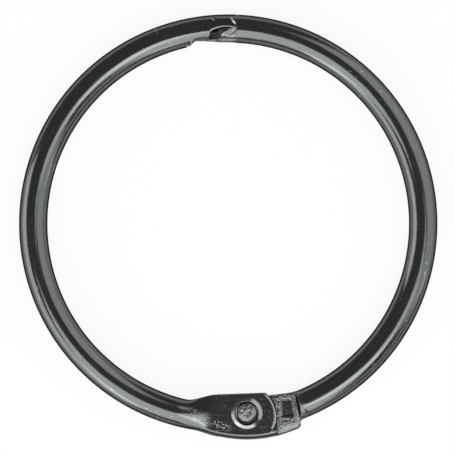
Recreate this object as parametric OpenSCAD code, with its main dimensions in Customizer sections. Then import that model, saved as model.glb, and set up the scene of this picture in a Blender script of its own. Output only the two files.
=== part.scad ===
// Hinged snap ring, rolled from sheet steel: two half rings that turn on one rivet
// and snap together end to end, so that the ring can be passed round a rod.
// The ring lies in the XY plane, its centre is the origin and its rivet is near -Y.
// Angles are in degrees, counted anticlockwise from +X as seen from +Z.

/* [Ring] */
// Inside diameter of the closed ring
ring_id = 50.8; // [48:0.2:54]
// Outside diameter of the rolled tube
tube_d = 4; // [3.8:0.05:4.2]
// Thickness of the sheet that both halves are rolled from
sheet_t = 0.45; // [0.4:0.01:0.5]
// Width of the seam along the inside of the ring
seam_gap = 0.12; // [0.08:0.02:0.2]

/* [Hinge] */
// Direction of the rivet from the ring's centre
pivot_angle = -84.4; // [-86:0.2:-83]
// How far the rivet's axis lies inside the tube's centre line
pivot_inset = 0.7; // [0.6:0.05:0.8]
// Thickness of the fork across both cheeks
fork_t = 2.7; // [2.6:0.05:2.8]
// How far the fork stands inside the ring's inner edge
fork_inner_rise = 1.4; // [1.3:0.05:1.5]
// How far the fork stands outside the ring's outer edge
fork_outer_rise = 1.25; // [1.1:0.05:1.4]
// Width of the rolled margin along the fork's outer edge
margin_w = 1; // [0.9:0.05:1.1]
// Radius of the rounded end of the cheeks
cheek_end_r = 4.15; // [4:0.05:4.3]
// Thickness of the flattened blade that turns in the fork
blade_t = 1; // [0.9:0.05:1.1]
// Clearance on each side of the blade
blade_play = 0.05; // [0.03:0.01:0.08]
// Radius of the blade's round end
blade_end_r = 2.6; // [2.5:0.05:2.7]

/* [Rivet] */
// Diameter of the rivet's shank
shank_d = 1.8; // [1.6:0.05:2]
// Radial clearance of the shank in the blade
shank_play = 0.05; // [0.03:0.01:0.08]
// Diameter of the rivet's heads
head_d = 2.9; // [2.7:0.05:3]
// Height of the rivet's heads
head_h = 0.7; // [0.6:0.05:0.8]
// Outside diameter of the collar pressed up round each head
seat_d = 4.4; // [4.2:0.05:4.6]
// Height of the collar above the cheek
collar_h = 0.25; // [0.2:0.01:0.3]

/* [Closure] */
// Direction of the joint between the two free ends
joint_angle = 87.5; // [86:0.5:90]
// Gap between the two free ends
joint_gap = 0.1; // [0.06:0.02:0.16]
// Length of the tongue from the joint to its nose
tongue_l = 7.2; // [6.8:0.1:7.4]
// Width of the tongue
tongue_w = 1.4; // [1.3:0.05:1.5]
// Depth of the groove that each catch tooth points into
groove_depth = 0.22; // [0.18:0.02:0.26]
// Clearance between the tongue's sides and the teeth of the catch
catch_play = 0.06; // [0.04:0.01:0.08]

/* [Hidden] */
$fn = 96;

tube_r = tube_d / 2;
bore_r = tube_r - sheet_t;
ring_ri = ring_id / 2;
ring_r = ring_ri + tube_r;
ring_ro = ring_r + tube_r;
plating = "#3f4344";
rivet_finish = "#74787a";
reach = 2 * ring_ro;
skin = 0.03;

// Hinge: levels above the middle plane, and the rivet's place
pivot_r = ring_r - pivot_inset;
fork_half = fork_t / 2;
blade_half = blade_t / 2;
slot_half = blade_half + blade_play;
seat_z = slot_half + sheet_t;
shank_r = shank_d / 2;

// Fork: where the round tube starts to open, and where each edge has its full height
fork_start = -106;
fork_flat = -94;
fork_stop = -72;
fork_step = 1.6;
fork_lap = 0.4;
inner_edge_start = -103.5;
inner_edge_full = -99;
inner_edge_facing = -87.9;
outer_edge_start = -99;
outer_edge_full = -79;
web_end = -92.5;
cheek_end_ahead = 0.5;
margin_start = cheek_end_r - 1.55;
margin_reach = 5.6;

// Blade: how its edges spread, its outer corner, and the crushed step between it and the tube
blade_spread = 0.6;
blade_end_spread = 0.25;
blade_wide = -77;
blade_corner = -71.6;
blade_corner_r = 0.7;
blade_stop = -70;
tube_start = -68.2;

// Mark left in each face of the blade by the tool that crushed it
mark_angle = -72.4;
mark_turn = -14;
mark_r = ring_ri + 1.75;
mark_l = 0.625 * tube_d;
mark_w = 1.4;
mark_depth = 0.14;

// Closure: heights above the tube's centre line, at the joint
tongue_half_w = tongue_w / 2;
tongue_foot = 0.05 - tube_r;
mouth_level = tongue_foot;
slot_end = tongue_l - 0.3;
cut_end = tongue_l - 1.4;
cut_top = -tube_r - 1.1;

// Mouth: the arc over it, and the wall that it ends at
arc_r = 3.7;
arc_at = 1.3;
arc_top = 0.08;
wall_at = 3.7;

// Catch
tooth_at = 4.55;
tooth_level = -0.65 * tube_r;

// Neck that backs the gap between the two free ends, reaching into both tubes
neck_l = 0.5;
neck_root_l = 1.2;
neck_t = 0.4;
neck_play = 0.07;

// Skin: the lower part of the tongue half's tube, which runs on past the joint to a point
skin_l = 3.2;

// Tongue: half widths at its root and its shoulders, and where the shoulders end
root_l = 1.3 * tube_r;
root_half_w = 1.35;
shoulder_half_w = 1.25;
shoulder_end = 0.44 * tongue_l;

// Rib of doubled sheet that stands up on the tongue
rib_top = 0.2 * tube_r;
rib_flat_end = 0.36 * tongue_l;
rib_end = tongue_l - 1.9;

// ---- Small helpers

// How far x is on its way from a to b, and an eased version of it
function share(x, a, b) = min(1, max(0, (x - a) / (b - a)));
function eased(x, a, b) = let (t = share(x, a, b)) t * t * (3 - 2 * t);
function mixed(a, b, t) = a + (b - a) * t;
function polar(r, a) = [r * cos(a), r * sin(a)];
function reversed(points) = [for (i = [len(points) - 1:-1:0]) points[i]];

// Puts a child at the rivet: X points away from the ring's centre, Y anticlockwise
module at_pivot() {
  rotate([0, 0, pivot_angle]) translate([pivot_r, 0, 0]) children();
}

// Puts a child at the joint: X points away from the ring's centre, Y anticlockwise
module at_joint() {
  rotate([0, 0, joint_angle]) translate([ring_r, 0, 0]) children();
}

// A side view of the closure drawn flat, as thick as the height says.
// Its points are [distance past the joint, height above the tube's centre line].
module closure_slab(points, height) {
  linear_extrude(height = height, center = true) polygon([for (p = points) [p[1], p[0]]]);
}

// Both faces of a piece: the child as drawn, and its mirror image below the middle plane
module both_faces() {
  children();
  mirror([0, 0, 1]) children();
}

// Rolled tube between two angles, with its seam on the inside of the ring
module rolled_tube(from, to) {
  rotate([0, 0, from]) rotate_extrude(angle = to - from, $fn = 180)
    translate([ring_r, 0]) difference() {
      circle(r = tube_r);
      circle(r = bore_r);
      translate([-tube_r - 1, -seam_gap / 2]) square([tube_r, seam_gap]);
    }
}

// Skin through sections at the given angles, each a closed loop of [radius, z].
// An open sheet's loop runs back along its inner surface, so its ends close in strips.
module swept_skin(angles, sections, open_sheet = false) {
  n = len(sections[0]);
  m = len(angles);
  points = [
    for (j = [0:m - 1], p = sections[j])
      [p[0] * cos(angles[j]), p[0] * sin(angles[j]), p[1]]
  ];
  sides = [
    for (j = [0:m - 2], i = [0:n - 1]) let (k = (i + 1) % n)
      [j * n + i, j * n + k, (j + 1) * n + k, (j + 1) * n + i]
  ];
  cap = open_sheet
    ? [for (j = [0:n / 2 - 2]) [n / 2 - 2 - j, n / 2 - 1 - j, n / 2 + j, n / 2 + j + 1]]
    : [[for (i = [0:n - 1]) i]];
  first = [for (f = cap) reversed(f)];
  last = [for (f = cap) [for (i = f) i + (m - 1) * n]];
  polyhedron(points = points, faces = concat(first, sides, last), convexity = 6);
}

// ---- The fork: the rolled sheet opens from a round tube into two flat cheeks

// Radii of the fork's inner and outer edges
function fork_inner(a) = let (x = share(a, inner_edge_start, inner_edge_full)) mixed(
  ring_ri, (ring_ri - fork_inner_rise) / cos(a - inner_edge_facing), 1 - (1 - x) * (1 - x)
);
function fork_outer(a) =
  ring_ro + fork_outer_rise * sin(90 * share(a, outer_edge_start, outer_edge_full));

edge_points = 7;
margin_points = 7;
margin_turn = 135;
seam_turn = asin((seam_gap / 2 - 0.02) / tube_r);

// Half of the sheet's section, from its free edge to the outer side of the ring.
// inset is 0 for its outer surface and the sheet's thickness for the inner one.
function round_point(i, inset) = let (
    t = i < edge_points
      ? mixed(seam_turn, margin_turn, i / edge_points)
      : mixed(margin_turn, 180, (i - edge_points) / margin_points),
    r = tube_r + skin - inset * (1 + 2 * skin / sheet_t)
  ) [ring_r - r * cos(t), r * sin(t)];
function cheek_point(a, i, inset) = let (outer = fork_outer(a) - margin_w)
  i < edge_points
    ? [mixed(fork_inner(a), outer, i / edge_points), fork_half - inset]
    : let (turn = 90 * (i - edge_points) / margin_points)
      [outer + (margin_w - inset) * sin(turn), (fork_half - inset) * cos(turn)];
function half_section(a, inset) = [
  for (i = [0:edge_points + margin_points])
    mixed(round_point(i, inset), cheek_point(a, i, inset), eased(a, fork_start, fork_flat))
];
function folded(half) =
  concat(half, [for (i = [len(half) - 2:-1:0]) [half[i][0], -half[i][1]]]);
function sheet_section(a) =
  concat(reversed(folded(half_section(a, 0))), folded(half_section(a, sheet_t)));

module fork_sheet() {
  angles = [for (a = [fork_start:fork_step:fork_stop]) a];
  swept_skin(angles, [for (a = angles) sheet_section(a)], open_sheet = true);
}

// What stays of the fork: everything before the rivet, and a round end past it
module fork_outline() {
  at_pivot() linear_extrude(height = 2 * tube_d, center = true) {
    translate([cheek_end_ahead, 0]) circle(r = cheek_end_r);
    translate([-ring_r / 2, -reach]) square([ring_r, reach]);
    translate([margin_start, -1]) square([margin_reach - margin_start, cheek_end_r + 0.9]);
  }
}

// Way out for the blade through the rolled margins, from the end of the web onward
module blade_slot() {
  rotate([0, 0, web_end]) rotate_extrude(angle = 40)
    translate([ring_r, -slot_half]) square([ring_r, 2 * slot_half]);
}

// Seat pressed into a cheek for the rivet's head, and the collar that stands up round it
module dish() {
  head_r = head_d / 2;
  seat_r = seat_d / 2;
  top = fork_half + collar_h;
  rotate_extrude() polygon([
    [0, slot_half], [head_r + 0.1, slot_half],
    [seat_r, fork_half - sheet_t], [seat_r + 0.1, fork_half - sheet_t],
    [seat_r + 0.1, fork_half], [seat_r, fork_half + 0.02],
    [mixed(seat_r, head_r, 0.3), top - 0.09], [mixed(seat_r, head_r, 0.5), top],
    [mixed(seat_r, head_r, 0.66), top - 0.03], [head_r + 0.17, top - 0.14],
    [head_r + 0.12, seat_z], [0, seat_z]
  ]);
}

module fork() {
  difference() {
    union() {
      difference() {
        intersection() { fork_sheet(); fork_outline(); }
        blade_slot();
        at_pivot() cylinder(h = 2 * tube_d, r = seat_d / 2, center = true);
      }
      at_pivot() both_faces() dish();
    }
    at_pivot() cylinder(h = 2 * tube_d, r = shank_r, center = true);
  }
}

// ---- The blade: the other tube, flattened, with a round end about the rivet

// Radii of the blade's inner and outer edges, the outer one with its rounded corner
function blade_inner(a) =
  ring_ri - mixed(blade_spread, blade_end_spread, share(a, blade_wide, blade_stop));
function blade_outer(a) = let (x = share(a, blade_corner, blade_stop))
  ring_ro + fork_outer_rise - 0.1 - blade_corner_r * (1 - sqrt(1 - x * x));

function blade_corner_point(turn) =
  let (a = mixed(blade_corner, blade_stop, sin(turn))) polar(blade_outer(a), a);

module blade_outline() {
  difference() {
    union() {
      at_pivot_2d() circle(r = blade_end_r);
      polygon(concat(
        [polar(pivot_r - blade_end_r, pivot_angle), polar(pivot_r + blade_end_r, pivot_angle)],
        [for (a = [blade_wide:0.9:blade_corner]) polar(blade_outer(a), a)],
        [for (turn = [30:20:90]) blade_corner_point(turn)],
        [for (a = [blade_stop:-1.4:blade_wide]) polar(blade_inner(a), a)]
      ));
    }
    at_pivot_2d() circle(r = shank_r + shank_play);
  }
}
module at_pivot_2d() {
  rotate(pivot_angle) translate([pivot_r, 0]) children();
}

module blade_mark() {
  rotate([0, 0, mark_angle]) translate([mark_r, 0, blade_half - mark_depth])
    rotate([0, 0, mark_turn]) translate([-mark_l / 2, -mark_w / 2, 0]) cube([mark_l, mark_w, blade_t]);
}

// Section of the crushed step, from the flat blade to the round tube
step_points = 36;
function step_section(a, t) = [
  for (i = [0:step_points - 1]) let (
    u = 360 * i / step_points,
    mid = (blade_inner(a) + blade_outer(a)) / 2,
    half_w = (blade_outer(a) - blade_inner(a)) / 2,
    flat = [
      mid + half_w * sign(cos(u)) * pow(abs(cos(u)), 0.55),
      (blade_half + skin) * sign(sin(u)) * pow(abs(sin(u)), 0.35)
    ],
    round = [ring_r + (tube_r + skin) * cos(u), (tube_r + skin) * sin(u)]
  ) mixed(flat, round, t)
];
module crushed_step() {
  // each step is [angle, how round the section is]
  steps = [
    [blade_stop - 0.9, 0], [blade_stop - 0.4, 0], [blade_stop, 0.05],
    [mixed(blade_stop, tube_start, 0.35), 0.55], [mixed(blade_stop, tube_start, 0.7), 0.9],
    [tube_start, 1], [tube_start + 0.6, 1]
  ];
  swept_skin([for (s = steps) s[0]], [for (s = steps) step_section(s[0], s[1])]);
}

// ---- The closure

// The round of the tube about the joint, which keeps the tongue and the teeth inside it
module round_envelope(r) {
  rotate([0, 0, joint_angle - 8]) rotate_extrude(angle = 32) translate([ring_r, 0]) circle(r = r);
}

// What is cut away from the side walls round the mouth of the socket
module mouth() {
  at_joint() {
    closure_slab([[-1, mouth_level], [cut_end, mouth_level], [slot_end, cut_top],
      [slot_end, -2 * tube_r], [-1, -2 * tube_r]], 2 * tube_d);
    intersection() {
      translate([arc_top - arc_r, arc_at, -tube_d]) cylinder(h = 2 * tube_d, r = arc_r);
      closure_slab([[-1, 1], [wall_at + 0.15, 1], [wall_at - 0.1, -3], [-1, -3]], 3 * tube_d);
    }
  }
}

// Slot along the inside of the ring for the tongue
module tongue_slot() {
  at_joint() closure_slab(
    [[-1, 0], [slot_end, -0.9], [slot_end, -3 * tube_r], [-1, -3 * tube_r]],
    tongue_w + 4 * catch_play
  );
}

// Tooth of the catch, on one side wall, and the dent behind it
module catch_tooth() {
  intersection() {
    round_envelope(tube_r - 0.05);
    at_joint() translate([tooth_level, tooth_at, tongue_half_w + catch_play])
      cylinder(h = 0.75, r1 = 0.34, r2 = 0.7);
  }
}
module catch_dent() {
  at_joint() translate([tooth_level - 0.2, tooth_at, tube_r + 0.25]) sphere(r = 0.75);
}

// Turned-out lip at the end of the slot
module slot_lip() {
  at_joint() translate([-2.72, slot_end + 0.05, tongue_half_w + catch_play])
    cylinder(h = 0.4, r = 0.34);
}

// Diagonal nick beside the joint, in the front of the socket's roof
module roof_nick() {
  at_joint() translate([0, 0.65, 0]) rotate([0, 32, 0]) translate([0, 0, tube_r])
    rotate([0, 0, 32]) cube([1.4, 0.3, 0.44], center = true);
}

// Body of the tongue, narrowing from the tube to its nose
module tongue_body() {
  intersection() {
    round_envelope(tube_r - 0.03);
    // side view
    at_joint() closure_slab([
      [-root_l, -3], [-root_l, 0.3], [0, 0.15], [1.2, -0.2], [shoulder_end + 0.2, -1.1],
      [tongue_l - 0.5, -1.15], [tongue_l, -1.45], [tongue_l - 0.15, tongue_foot],
      [0, tongue_foot], [0, -3]
    ], tube_d);
    // plan view
    at_joint() rotate([0, -90, 0]) linear_extrude(height = 3 * tube_d, center = true)
      for (side = [0, 1]) mirror([side, 0]) polygon([
        [0, -root_l], [root_half_w, -root_l], [shoulder_half_w, 0],
        [tongue_half_w, shoulder_end], [tongue_half_w, tongue_l - 0.6],
        [tongue_half_w - 0.3, tongue_l], [0, tongue_l]
      ]);
  }
}

// What is cut off the tube that runs on past the joint: all above the crease and below the foot
module skin_cut() {
  at_joint() {
    closure_slab([
      [0, tube_d], [0, -0.2], [0.2, -0.55], [0.6, -0.95], [1.1, -1.17], [1.7, -1.31],
      [2.6, -1.5], [skin_l, tongue_foot], [2 * skin_l, tongue_foot], [2 * skin_l, tube_d]
    ], 2 * tube_d);
    closure_slab([
      [0, tongue_foot], [2 * skin_l, tongue_foot], [2 * skin_l, -tube_d], [0, -tube_d]
    ], 2 * tube_d);
  }
}

// Neck of the tongue half, a short sleeve inside both tubes at the joint
module neck() {
  // each ring is [where it starts, its length, its outside radius]
  for (ring = [[-neck_root_l, neck_root_l, bore_r + skin], [0, neck_l, bore_r - neck_play]])
    rotate([0, 0, joint_angle + asin(ring[0] / ring_r)])
      rotate_extrude(angle = asin(ring[1] / ring_r)) translate([ring_r, 0]) difference() {
        circle(r = ring[2]);
        circle(r = bore_r - neck_play - neck_t);
      }
}

module tongue() {
  difference() {
    tongue_body();
    // bevelled shoulders, and the grooves that the teeth point into
    at_joint() both_faces() {
      translate([-0.22, 0, 1.2]) rotate([0, 0, 26]) rotate([-8, 0, 0]) rotate([0, 42, 0])
        translate([0, 0.1, 0]) cube([0.75 * tube_d, tube_d, tube_r]);
      translate([tooth_level, tooth_at, tongue_half_w - groove_depth])
        cylinder(h = 1, r1 = 0.3, r2 = 1.1);
    }
  }
  // the doubled sheet that stands up inside the socket
  at_joint() closure_slab([
    [0.2 - root_l, -1.7], [0.2 - root_l, rib_top], [rib_flat_end, rib_top],
    [(rib_flat_end + rib_end) / 2, 0], [rib_end, -1], [rib_end, -1.7]
  ], 2 * sheet_t);
}

// ---- The parts

module socket_half() {
  color(plating) {
    difference() {
      union() {
        rolled_tube(joint_angle + asin(joint_gap / ring_r), 360 + fork_start + fork_lap);
        both_faces() slot_lip();
      }
      mouth();
      tongue_slot();
      both_faces() catch_dent();
      roof_nick();
    }
    both_faces() catch_tooth();
    fork();
  }
}

module tongue_half() {
  color(plating) {
    difference() {
      rolled_tube(tube_start + 0.3, joint_angle + asin((skin_l + 0.2) / ring_r));
      skin_cut();
    }
    crushed_step();
    neck();
    tongue();
    difference() {
      linear_extrude(height = blade_t, center = true) blade_outline();
      both_faces() blade_mark();
    }
  }
}

module hinge_rivet() {
  color(rivet_finish) at_pivot() {
    cylinder(h = 2 * seat_z, r = shank_r, center = true);
    both_faces() translate([0, 0, seat_z]) rotate_extrude() polygon([
      [0, 0], [head_d / 2, 0], [head_d / 2, head_h - 0.3],
      [head_d / 2 - 0.12, head_h - 0.1], [head_d / 2 - 0.4, head_h], [0, head_h]
    ]);
  }
}

socket_half();
tongue_half();
hinge_rivet();
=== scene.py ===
"""Dresses the hinged snap ring: two half rings of rolled sheet steel, a rivet, and a pale floor.

Sizes are in millimetres and degrees, as in the part's own drawing. They become metres where a
mesh is made. Angles run anticlockwise from +X, and the ring's centre is the origin.
"""
from __future__ import annotations

import logging
import math
from contextlib import contextmanager
from dataclasses import dataclass, field
from enum import Enum
from typing import Callable, Iterator, Sequence

import bmesh
import bpy
from mathutils import Matrix, Vector, noise

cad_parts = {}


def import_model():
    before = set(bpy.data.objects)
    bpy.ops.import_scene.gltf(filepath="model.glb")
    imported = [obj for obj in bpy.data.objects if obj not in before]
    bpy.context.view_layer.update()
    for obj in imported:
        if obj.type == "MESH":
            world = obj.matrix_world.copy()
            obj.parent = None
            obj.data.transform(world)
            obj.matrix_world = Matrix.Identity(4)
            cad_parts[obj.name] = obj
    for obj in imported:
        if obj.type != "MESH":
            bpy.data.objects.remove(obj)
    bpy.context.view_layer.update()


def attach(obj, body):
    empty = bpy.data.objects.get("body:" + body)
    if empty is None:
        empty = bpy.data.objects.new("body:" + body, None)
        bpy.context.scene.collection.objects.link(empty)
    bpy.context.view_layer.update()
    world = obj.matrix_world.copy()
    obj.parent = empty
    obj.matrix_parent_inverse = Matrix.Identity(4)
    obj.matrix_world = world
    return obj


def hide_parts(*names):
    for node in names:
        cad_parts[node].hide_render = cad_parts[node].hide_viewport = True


MM = 0.001
BUMP_DEPTH = 0.03 * MM
HOLE_REACH = 3.0
log = logging.getLogger("snap_ring")

Point = tuple[float, float, float]
Pair = tuple[float, float]
Grid = list[list[Point]]


# ---- Numbers


def share(x: float, a: float, b: float) -> float:
    """How far x is on its way from a to b, kept between 0 and 1."""
    return min(1.0, max(0.0, (x - a) / (b - a)))


def eased(x: float, a: float, b: float) -> float:
    """Like share, but starting and ending gently."""
    t = share(x, a, b)
    return t * t * (3 - 2 * t)


def mixed(a: float, b: float, t: float) -> float:
    """The value a share t of the way from a to b."""
    return a + (b - a) * t


def stepped(a: float, b: float, count: int) -> list[float]:
    """Values from a to b in a number of equal steps, with both ends."""
    return [mixed(a, b, i / count) for i in range(count + 1)]


def through(stops: Sequence[Pair], x: float, way: Callable[[float, float, float], float]) -> float:
    """The height at a place of a line through stops.

    Args:
        stops: the stops as (place, height), in order.
        x: the place.
        way: share for straight stretches, eased for gentle ones.

    Returns:
        The height.
    """
    for (a, low), (b, high) in zip(stops, stops[1:]):
        if x <= b:
            return mixed(low, high, way(x, a, b))
    return stops[-1][1]


def sin_d(angle: float) -> float:
    """Sine of an angle in degrees."""
    return math.sin(math.radians(angle))


def cos_d(angle: float) -> float:
    """Cosine of an angle in degrees."""
    return math.cos(math.radians(angle))


def polar(radius: float, angle: float, z: float = 0.0) -> Point:
    """A point at a radius and an angle in degrees round the ring's centre."""
    return (radius * cos_d(angle), radius * sin_d(angle), z)


def between(a: Point, b: Point, t: float) -> Point:
    """The point a share t of the way from a to b."""
    return (mixed(a[0], b[0], t), mixed(a[1], b[1], t), mixed(a[2], b[2], t))


def rounded_drop(inside: float, radius: float) -> float:
    """How far a rounded edge has dropped, at a distance in from the edge."""
    off = max(0.0, radius - inside)
    return radius - math.sqrt(radius * radius - off * off)


def bell(x: float, centre: float, width: float) -> float:
    """A smooth hump of height 1 at centre, gone about two widths away."""
    return math.exp(-(((x - centre) / width) ** 2))


# ---- Sizes


@dataclass(frozen=True)
class RingSizes:
    """The sizes that both halves share, as the part's own drawing names them.

    Args:
        ring_id: inside diameter of the closed ring.
        tube_d: outside diameter of the rolled tube.
        sheet_t: thickness of the sheet.
        seam_gap: width of the seam along the inside of the ring.
        pivot_angle: direction of the rivet.
        pivot_inset: how far the rivet lies inside the tube's centre line.
        joint_angle: direction of the snap joint.
        joint_gap: gap between the two free ends.
    """

    ring_id: float = 50.8
    tube_d: float = 4.0
    sheet_t: float = 0.45
    seam_gap: float = 0.12
    pivot_angle: float = -84.4
    pivot_inset: float = 0.7
    joint_angle: float = 87.5
    joint_gap: float = 0.1

    @property
    def tube_r(self) -> float:
        """Outside radius of the tube."""
        return self.tube_d / 2

    @property
    def bore_r(self) -> float:
        """Inside radius of the tube."""
        return self.tube_r - self.sheet_t

    @property
    def inner_edge(self) -> float:
        """Radius of the ring's inner edge."""
        return self.ring_id / 2

    @property
    def ring_r(self) -> float:
        """Radius of the tube's centre line."""
        return self.inner_edge + self.tube_r

    @property
    def outer_edge(self) -> float:
        """Radius of the ring's outer edge."""
        return self.ring_r + self.tube_r

    @property
    def pivot_r(self) -> float:
        """Distance of the rivet's axis from the ring's centre."""
        return self.ring_r - self.pivot_inset

    @property
    def seam_turn(self) -> float:
        """Half of the seam, as an angle round the tube."""
        return math.degrees(math.asin(self.seam_gap / 2 / self.tube_r))

    @property
    def pivot(self) -> Vector:
        """The rivet's place in the ring's plane."""
        return Vector(polar(self.pivot_r, self.pivot_angle))

    def face_r(self, outer: bool) -> float:
        """Radius of the sheet's outer or inner face, round the tube's centre line."""
        return self.tube_r if outer else self.bore_r

    def along(self, distance: float) -> float:
        """The angle that a distance along the tube's centre line makes at the ring's centre."""
        return math.degrees(distance / self.ring_r)

    def past_joint(self, s: float) -> float:
        """The angle round the ring of a place, by its distance along the ring past the joint."""
        return self.joint_angle + self.along(s)

    def tube_point(self, r: float, turn: float, angle: float) -> Point:
        """A point at a radius and an angle round the tube's centre line, which starts inwards."""
        return polar(self.ring_r - r * cos_d(turn), angle, r * sin_d(turn))

    def from_pivot(self, radius: float, angle: float) -> Pair:
        """How far a place lies out from the rivet, and how far past it round the ring."""
        past = angle - self.pivot_angle
        return radius * cos_d(past) - self.pivot_r, radius * sin_d(past)


@dataclass(frozen=True)
class ForkSizes:
    """Where the rolled sheet opens into the fork, and how far its edges stand out.

    Each span is the stretch round the ring over which the face or an edge moves to its place.
    """

    thickness: float = 2.7
    inner_rise: float = 1.4
    outer_rise: float = 1.25
    margin_w: float = 1.0
    end_r: float = 4.15
    flat_span: Pair = (-106.0, -94.0)
    inner_span: Pair = (-103.5, -99.0)
    inner_facing: float = -87.9
    outer_span: Pair = (-99.0, -79.0)
    web_end: float = -92.5
    slot_half: float = 0.55
    seat_d: float = 4.4
    collar_h: float = 0.25
    head_d: float = 2.9

    @property
    def half(self) -> float:
        """Height of the fork's faces above the middle plane."""
        return self.thickness / 2


@dataclass(frozen=True)
class ClosureSizes:
    """Sizes of the socket and the tongue. Heights are above the tube's centre line at the joint."""

    tongue_l: float = 7.2
    tongue_half_w: float = 0.7
    inset: float = 0.03
    slot_half: float = 0.82
    slot_end: float = 6.9
    slot_side: float = 0.9
    foot: float = -1.95
    cut_end: float = 5.8
    cut_top: float = -3.1
    arc_r: float = 3.7
    arc_at: float = 1.3
    arc_top: float = 0.08
    wall_at: float = 3.7
    wall_round: float = 0.09
    tooth_at: float = 4.55
    tooth_level: float = -1.3
    skin_l: float = 3.2
    neck_l: float = 0.5
    neck_root_l: float = 1.2
    neck_t: float = 0.4
    neck_play: float = 0.07
    crease: tuple[Pair, ...] = (
        (0.0, -0.2), (0.2, -0.55), (0.6, -0.95), (1.1, -1.17), (1.7, -1.31), (2.6, -1.5), (3.2, -1.95),
    )

    @property
    def slot_stop(self) -> float:
        """Where the slot ends, measured along the ring."""
        edge = SIZES.ring_r - SIZES.tube_r * self.slot_side
        return SIZES.ring_r * math.asin(self.slot_end / edge)

    def mouth_level(self, distance: float) -> float:
        """The height below which the socket's sheet is cut away.

        Args:
            distance: straight distance past the joint.

        Returns:
            The height: an arc over the mouth, and past its wall the foot and the slanted cut.
        """
        across = min(abs(distance - self.arc_at), self.arc_r)
        arc = self.arc_top - self.arc_r + math.sqrt(self.arc_r**2 - across**2)
        level = mixed(self.foot, self.cut_top, share(distance, self.cut_end, self.slot_end))
        wall = eased(distance, self.wall_at - self.wall_round, self.wall_at + self.wall_round)
        return mixed(arc, level, wall)

    def crease_level(self, distance: float) -> float:
        """Height of the tongue half's skin, at a distance past the joint."""
        return through(self.crease, distance, share)


SIZES = RingSizes()
FORK = ForkSizes()
CLOSURE = ClosureSizes()


# ---- Meshes


def new_object(name: str, data: bpy.types.ID) -> bpy.types.Object:
    """Links a mesh, a lamp or a camera into the scene as an object at the origin.

    Args:
        name: the object's name.
        data: what it shows, in metres.

    Returns:
        The new object.
    """
    obj = bpy.data.objects.new(name, data)
    bpy.context.scene.collection.objects.link(obj)
    return obj


def mesh_object(
    name: str, points: Sequence[Sequence[float]], faces: Sequence[Sequence[int]]
) -> bpy.types.Object:
    """Makes an object from points and faces.

    Args:
        name: the object's name.
        points: the vertices, in millimetres.
        faces: vertex numbers of each face, anticlockwise from outside.

    Returns:
        The new object.
    """
    mesh = bpy.data.meshes.new(name)
    mesh.from_pydata([[c * MM for c in p] for p in points], [], [list(f) for f in faces])
    mesh.validate()
    return new_object(name, mesh)


@contextmanager
def edited(mesh: bpy.types.Mesh) -> Iterator[bmesh.types.BMesh]:
    """Opens a mesh for editing and puts the result back.

    Args:
        mesh: the mesh.

    Yields:
        Its editable form.
    """
    bm = bmesh.new()
    bm.from_mesh(mesh)
    yield bm
    bm.to_mesh(mesh)
    bm.free()


def tidy_mesh(obj: bpy.types.Object, merge: float = 1e-6) -> None:
    """Merges doubled vertices and turns every face outwards.

    Args:
        obj: the object whose mesh is tidied.
        merge: distance in metres below which vertices become one.
    """
    with edited(obj.data) as bm:
        bmesh.ops.remove_doubles(bm, verts=bm.verts, dist=merge)
        bmesh.ops.dissolve_degenerate(bm, dist=merge / 2, edges=bm.edges)
        bmesh.ops.recalc_face_normals(bm, faces=bm.faces)


def close_ends(obj: bpy.types.Object) -> None:
    """Closes a swept tube's two open ends with strips between its outside and its bore.

    Args:
        obj: the tube.
    """
    with edited(obj.data) as bm:
        bmesh.ops.remove_doubles(bm, verts=bm.verts, dist=1e-7)
        edges = [edge for edge in bm.edges if edge.is_boundary]
        bmesh.ops.holes_fill(bm, edges=edges, sides=0)
        bmesh.ops.recalc_face_normals(bm, faces=bm.faces)


def apply_modifiers(obj: bpy.types.Object) -> None:
    """Turns an object's modifiers into its own mesh.

    Args:
        obj: the object, which keeps its name and its place.
    """
    graph = bpy.context.evaluated_depsgraph_get()
    graph.update()
    mesh = bpy.data.meshes.new_from_object(obj.evaluated_get(graph), depsgraph=graph)
    old = obj.data
    obj.modifiers.clear()
    obj.data = mesh
    mesh.name = obj.name
    bpy.data.meshes.remove(old)


def joined(name: str, parts: Sequence[bpy.types.Object]) -> bpy.types.Object:
    """Joins objects into one mesh without changing their faces.

    Args:
        name: the new object's name.
        parts: the objects, which are removed.

    Returns:
        The joined object.
    """
    mesh = bpy.data.meshes.new(name)
    with edited(mesh) as bm:
        for part in parts:
            bm.from_mesh(part.data)
    for part in parts:
        bpy.data.objects.remove(part)
    return new_object(name, mesh)


class Cut(Enum):
    """What a boolean does with its second piece."""

    TAKE = "DIFFERENCE"
    ADD = "UNION"


def combine(obj: bpy.types.Object, other: bpy.types.Object, how: Cut) -> None:
    """Cuts another piece out of an object or fuses it on. The other piece is removed.

    Args:
        obj: the object that stays.
        other: the piece that is taken away or added.
        how: which of the two.
    """
    modifier = obj.modifiers.new("cut", "BOOLEAN")
    modifier.operation = how.value
    modifier.solver = "EXACT"
    modifier.object = other
    apply_modifiers(obj)
    bpy.data.objects.remove(other)


def lofted(
    name: str, sections: Sequence[Sequence[Point]], looped: bool = False
) -> bpy.types.Object:
    """Skins closed sections of the same number of points.

    Args:
        name: the object's name.
        sections: closed loops of points, in millimetres.
        looped: whether the last section joins the first. Otherwise both ends are closed.

    Returns:
        The new object, its faces outwards.
    """
    count, rows = len(sections[0]), len(sections)
    points = [p for section in sections for p in section]
    faces: list[Sequence[int]] = []
    for j in range(rows if looped else rows - 1):
        a, b = j * count, ((j + 1) % rows) * count
        for i in range(count):
            k = (i + 1) % count
            faces.append((a + i, a + k, b + k, b + i))
    if not looped:
        faces.append(tuple(reversed(range(count))))
        faces.append(tuple(range((rows - 1) * count, rows * count)))
    obj = mesh_object(name, points, faces)
    tidy_mesh(obj)
    return obj


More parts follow.
